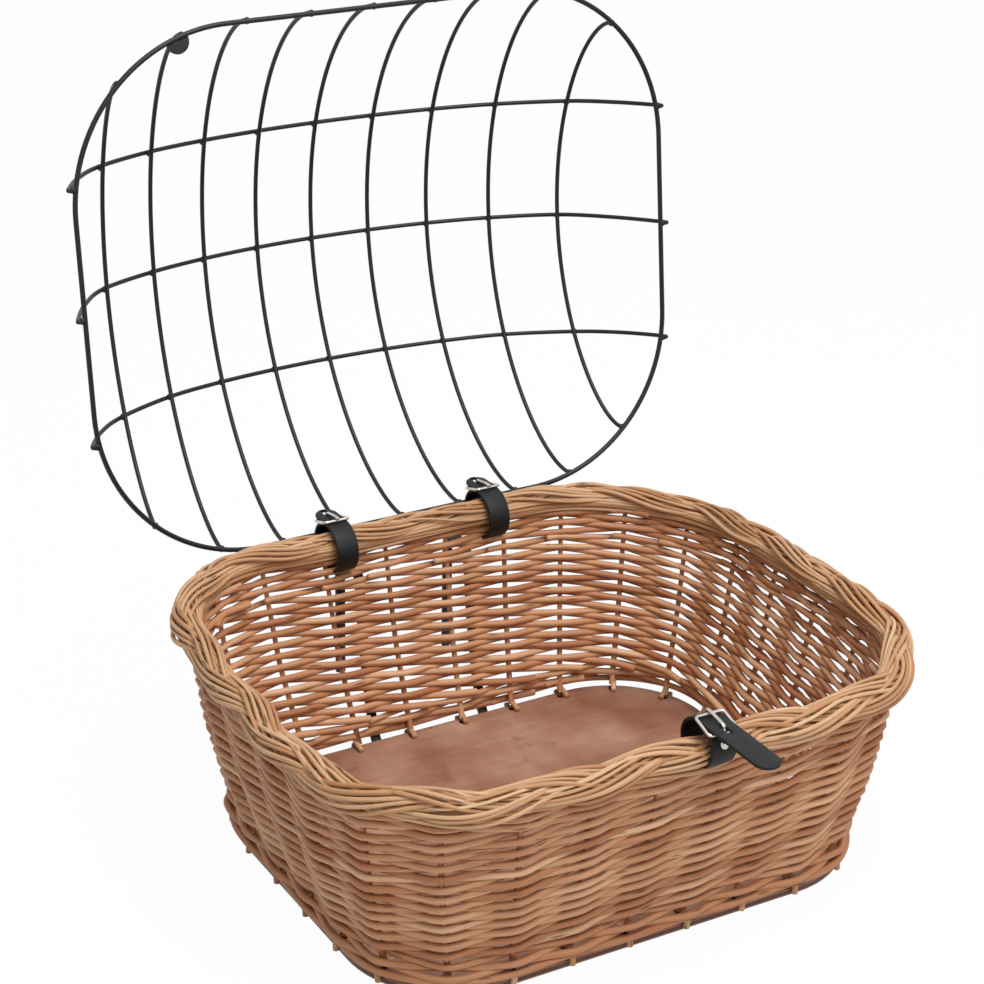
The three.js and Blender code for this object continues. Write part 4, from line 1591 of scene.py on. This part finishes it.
@dataclass
class BuckledStrap:
    """A leather loop with a tail, held by a nickel buckle and its tongue."""

    kind: str
    tongue_body: Body
    origin: Vector
    width: float
    inner_depth: float
    inner_rise: float
    tail: float
    centre_depth: float
    centre_rise: float
    ending: str = ""
    turn: float = 0.0
    riveted: bool = False
    leather: float = 0.0025
    edge: float = 0.0006
    loop_steps: int = 96
    gap: float = 0.0003
    wire: float = 0.0025
    wire_sides: int = 12
    frame_points: int = 120
    reach: float = 0.018
    heel: float = 0.017
    tongue_width: float = 0.0026
    tongue_thickness: float = 0.0018
    tongue_bend: float = 0.0025
    tongue_edge: float = 0.0007
    tongue_end_round: float = 0.0005
    slot_length: float = 0.011
    rivet_radius: float = 0.0035
    rivet_height: float = 0.0016
    rivet_skirt: float = 0.22
    rivet_shoulder: float = 0.92
    rivet_steps: int = 7
    rivet_turn: float = 0.30

    @property
    def placing(self) -> Matrix:
        """The strap's own frame: X across the strap and Y along its tail."""
        return Matrix.Translation(self.origin) @ Matrix.Rotation(self.turn, 4, "Z")

    @property
    def centre(self) -> Vector:
        """The middle of the loop."""
        return Vector((0.0, self.centre_depth, self.centre_rise))

    @property
    def label(self) -> str:
        """How the names of this strap's pieces begin."""
        return self.kind + self.ending

    def node(self, piece: str) -> str:
        """The name of this strap's node for a piece."""
        return f"{self.kind}_{piece}{self.ending}"

    def build(self) -> None:
        """Makes the leather, the buckle, the tongue and the rivet."""
        self.add_leather()
        self.add_buckle()
        self.add_tongue()
        if self.riveted:
            self.add_rivet()

    def add_leather(self) -> None:
        """Adds the loop and its tail as one piece of leather."""
        half = self.leather / 2
        line = [
            self.centre + Vector((0.0, (self.inner_depth + half) * side, (self.inner_rise + half) * up))
            for up, side in circle(self.loop_steps)
        ]
        section = rounded_bar(self.leather, self.width, self.edge)
        loop = Sweep().add(line, section, endless=True, upwards=ACROSS).mesh(f"{self.label}_band")
        tail = self.tail_plate()
        work = bmesh.new()
        work.from_mesh(loop)
        work.from_mesh(tail)
        work.to_mesh(loop)
        work.free()
        bpy.data.meshes.remove(tail)
        loop.set_sharp_from_angle(angle=PLATE_SHARP_ANGLE)
        dress(loop, BLACK_LEATHER, Body.BASKET, [self.node("strap")], self.placing)

    def tail_plate(self) -> bpy.types.Mesh:
        """Cuts the tail, with the slot for the tongue.

        Returns:
            The tail's mesh, on top of the loop.
        """
        side = self.width / 2 - self.edge
        outline = [(side, 0.0), *half_circle(side, self.tail - self.width / 2), (-side, 0.0)]
        slot_side = self.tongue_width / 2 + 2 * self.gap + self.edge
        start = self.heel - self.tongue_thickness - 3 * self.gap - self.edge
        end = start + self.slot_length + 2 * self.edge
        slot = [(-slot_side, start), (slot_side, start), (slot_side, end), (-slot_side, end)]
        mesh = cut_plate(f"{self.label}_tail", [outline, slot], self.leather, self.edge)
        mesh.transform(Matrix.Translation(self.centre + UP * (self.inner_rise + self.leather / 2)))
        return mesh

    def add_buckle(self) -> None:
        """Adds the buckle's frame: its heel bar under the tail and its front bar over it."""
        above = self.leather + self.gap + self.wire / 2
        below = -self.gap - self.wire / 2
        side = self.width / 2 + self.gap + self.wire / 2
        outline = RoundedRectangle(2 * side, math.hypot(above - below, self.reach), self.wire)
        line = outline.points(self.frame_points)
        sweep = Sweep().add(line, circle(self.wire_sides), self.wire / 2, endless=True)
        mesh = sweep.mesh(f"{self.label}_buckle_frame")
        mesh.transform(Matrix.Rotation(-math.atan2(above - below, self.reach), 4, "X"))
        middle = Vector((0.0, self.heel - self.reach / 2, self.inner_rise + (above + below) / 2))
        mesh.transform(Matrix.Translation(middle + self.centre))
        dress(mesh, BRIGHT_NICKEL, Body.BASKET, [self.node("buckle")], self.placing)

    def add_tongue(self) -> None:
        """Adds the tongue, from the heel bar through the slot to the front bar."""
        shoulder = self.inner_rise + self.leather + self.gap + self.tongue_thickness / 2
        front = shoulder + self.wire + self.gap
        bar = self.heel - self.reach
        corners = [
            Vector((0.0, self.heel, self.inner_rise)),
            Vector((0.0, self.heel, shoulder)),
            Vector((0.0, bar + self.wire, front)),
            Vector((0.0, bar - self.wire, front)),
        ]
        line = [point + self.centre for point in filleted_line(corners, self.tongue_bend)]
        section = rounded_bar(self.tongue_thickness, self.tongue_width, self.tongue_edge)
        sweep = Sweep().add(line, section, upwards=ACROSS, end_round=self.tongue_end_round)
        mesh = sweep.mesh(f"{self.label}_buckle_tongue")
        dress(mesh, BRIGHT_NICKEL, self.tongue_body, [self.node("tongue")], self.placing)

    def add_rivet(self) -> None:
        """Adds the domed rivet on the loop's outer face."""
        radius, height, skirt = self.rivet_radius, self.rivet_height, self.rivet_skirt
        profile = [(0.0, 0.0), (radius, 0.0), (radius, height * skirt)]
        for step in range(1, self.rivet_steps):
            turn = math.pi / 2 * step / self.rivet_steps
            rise = height * (skirt + (1.0 - skirt) * math.sin(turn))
            profile.append((radius * self.rivet_shoulder * math.cos(turn), rise))
        profile.append((0.0, height))
        mesh = lathe("front_strap_stud", profile)
        mesh.transform(Matrix.Translation(BACKWARD * (self.inner_depth + self.leather + self.gap)))
        mesh.transform(Matrix.Rotation(self.rivet_turn, 4, "X"))
        mesh.transform(Matrix.Translation(self.centre))
        dress(mesh, BRIGHT_NICKEL, Body.BASKET, [self.node("strap_rivet")], self.placing)


@dataclass
class RailHook:
    """A flat steel hook behind the back wall, screwed to the board's edge."""

    side: Side
    offset: float = 0.050
    width: float = 0.008
    thickness: float = 0.004
    edge: float = 0.0009
    end_round: float = 0.0006
    board_half: float = 0.166
    gap: float = 0.0003
    screw_height: float = 0.005
    screw_radius: float = 0.0020
    screw_length: float = 0.016
    screw_point: tuple[Pair, ...] = ((0.0, 0.0), (0.6, 0.002), (1.0, 0.004))
    head_radius: float = 0.0035
    head_height: float = 0.0024
    head_shape: tuple[Pair, ...] = (
        (1.0, 0.0), (1.0, 0.35), (0.90, 0.72), (0.62, 0.96), (0.30, 1.0), (0.26, 0.55), (0.0, 0.5),
    )
    bend_radius: float = 0.006
    line: tuple[Pair, ...] = (
        (0.1683, 0.0015), (0.1766, 0.0120), (0.1842, 0.0376), (0.1951, 0.0880), (0.2019, 0.1390),
        (0.2089, 0.1460), (0.2289, 0.1460), (0.2359, 0.1390), (0.2359, 0.0400),
    )

    def build(self) -> None:
        """Makes the bar and its screw."""
        x = self.side.value * self.offset
        bends = filleted_line([Vector((x, y, z)) for y, z in self.line], self.bend_radius)
        section = rounded_bar(self.thickness, self.width, self.edge)
        sweep = Sweep().add(bends, section, upwards=ACROSS, end_round=self.end_round)
        mesh = sweep.mesh(f"rail_hook_{self.side.label}")
        dress(mesh, BLACK_PAINT, Body.BASKET, [f"hook_{self.side.label}"])
        self.add_screw(x)

    def add_screw(self, x: float) -> None:
        """Adds the pan-head screw through the hook's foot.

        Args:
            x: The hook's place along X.
        """
        radius, length = self.screw_radius, self.screw_length
        profile = [(radius * share, rise - length) for share, rise in self.screw_point]
        profile.append((radius, 0.0))
        radius, height = self.head_radius, self.head_height
        profile += [(radius * share, height * rise) for share, rise in self.head_shape]
        head = self.board_half + self.thickness + 3 * self.gap
        mesh = lathe(f"hook_bolt_{self.side.label}", profile)
        place = Matrix.Translation(Vector((x, head, self.screw_height)))
        dress(mesh, ZINC, Body.BASKET, [f"hook_screw_{self.side.label}"], place)


@dataclass(frozen=True)
class Lamp:
    """A square soft lamp that faces the basket, with its power in watts."""

    name: str
    place: Triple
    size: float
    power: float
    aim: Triple = (0.0, 0.0, 0.15)

    def build(self) -> None:
        """Hangs the lamp in the scene."""
        data = bpy.data.lights.new(self.name, "AREA")
        data.size = self.size
        data.energy = self.power
        lamp = placed(self.name, data)
        lamp.location = self.place
        lamp.rotation_mode = "QUATERNION"
        lamp.rotation_quaternion = (Vector(self.aim) - Vector(self.place)).to_track_quat("-Z", "Y")


@dataclass
class Studio:
    """A white paper floor, a white surround and large soft lamps."""

    floor_size: float = 8.0
    floor_height: float = -0.0005
    surround: float = 0.39
    lamps: tuple[Lamp, ...] = (
        Lamp("key_lamp", (0.2, -0.6, 2.6), 1.4, 45.0),
        Lamp("fill_lamp", (0.0, -1.5, 1.9), 1.6, 21.0),
    )

    def build(self) -> None:
        """Makes the floor, the surround and the lamps."""
        half = self.floor_size / 2
        corners = [(-half, -half), (half, -half), (half, half), (-half, half)]
        mesh = bpy.data.meshes.new("paper_floor")
        mesh.from_pydata([(x, y, self.floor_height) for x, y in corners], [], [(0, 1, 2, 3)])
        mesh.materials.append(WHITE_PAPER.material())
        placed("paper_floor", mesh)
        self.add_surround()
        for lamp in self.lamps:
            lamp.build()

    def add_surround(self) -> None:
        """Makes a world that looks white and gives an even, softer light."""
        world = bpy.data.worlds.new("white_surround")
        bpy.context.scene.world = world
        world.use_nodes = True
        tree = world.node_tree
        tree.nodes.clear()
        palette = Palette(tree)
        level = palette.remap(palette.seen_directly(), 0.0, 1.0, self.surround, 1.0)
        light = palette.feed("Background", "Background", {"Color": WHITE, "Strength": level})
        add_node(tree, "ShaderNodeOutputWorld", {}, {"Surface": light})


@dataclass(frozen=True)
class PhotoCamera:
    """The camera of the photograph, found from the lid's rim, its wires, the border and the board."""

    image: float = 984.0
    focal: float = 2557.1
    sensor: float = 36.0
    azimuth: float = -30.592
    elevation: float = 24.34
    roll: float = 1.273
    distance: float = 1.83015
    target: Triple = (-0.04749, 0.0, 0.29684)

    def build(self) -> None:
        """Makes the camera and gives it to the scene."""
        turn, tilt, roll = [math.radians(angle) for angle in (self.azimuth, self.elevation, self.roll)]
        back = Vector((
            math.sin(turn) * math.cos(tilt), -math.cos(turn) * math.cos(tilt), math.sin(tilt),
        ))
        level = UP.cross(back).normalized()
        above = back.cross(level)
        right = level * math.cos(roll) + above * math.sin(roll)
        up = above * math.cos(roll) - level * math.sin(roll)
        data = bpy.data.cameras.new("photo_camera")
        data.sensor_width = self.sensor
        data.lens = self.focal / self.image * self.sensor
        camera = placed("photo_camera", data)
        spot = Vector(self.target) + back * self.distance
        camera.matrix_world = Matrix((
            (right.x, up.x, back.x, spot.x),
            (right.y, up.y, back.y, spot.y),
            (right.z, up.z, back.z, spot.z),
            (0.0, 0.0, 0.0, 1.0),
        ))
        bpy.context.scene.camera = camera


def hinge_strap(side: Side) -> BuckledStrap:
    """Describes one of the two straps that hold the lid at the back.

    Args:
        side: The side it is on.

    Returns:
        The strap.
    """
    body = Body.LEFT_TONGUE if side is Side.LEFT else Body.RIGHT_TONGUE
    return BuckledStrap(
        kind="hinge", ending=f"_{side.label}", tongue_body=body,
        origin=Vector((side.value * 0.069, 0.202, 0.172)), width=0.018, inner_depth=0.0197,
        inner_rise=0.0182, tail=0.026, centre_depth=0.0025, centre_rise=0.0005,
    )


def front_strap() -> BuckledStrap:
    """Describes the strap at the front, with its long tail."""
    return BuckledStrap(
        kind="front", tongue_body=Body.FRONT_TONGUE, origin=Vector((0.009, -0.202, 0.172)),
        turn=math.pi, width=0.020, inner_depth=0.0172, inner_rise=0.0155, tail=0.076,
        centre_depth=0.0, centre_rise=0.0088, riveted=True,
    )


def main() -> None:
    """Builds the camera, the basket and the studio, in order."""
    logging.basicConfig(level=logging.INFO, format="%(name)s: %(message)s")
    bpy.context.scene.view_settings.view_transform = "Standard"
    PhotoCamera().build()
    wall = Wall()
    BaseBoard().build(wall)
    for work in (WovenWall, Stakes, PlaitedBorder):
        work(wall).build()
    WireLid().build()
    for side in Side:
        hinge_strap(side).build()
        RailHook(side).build()
    front_strap().build()
    Studio().build()


if __name__ == "__main__":
    main()
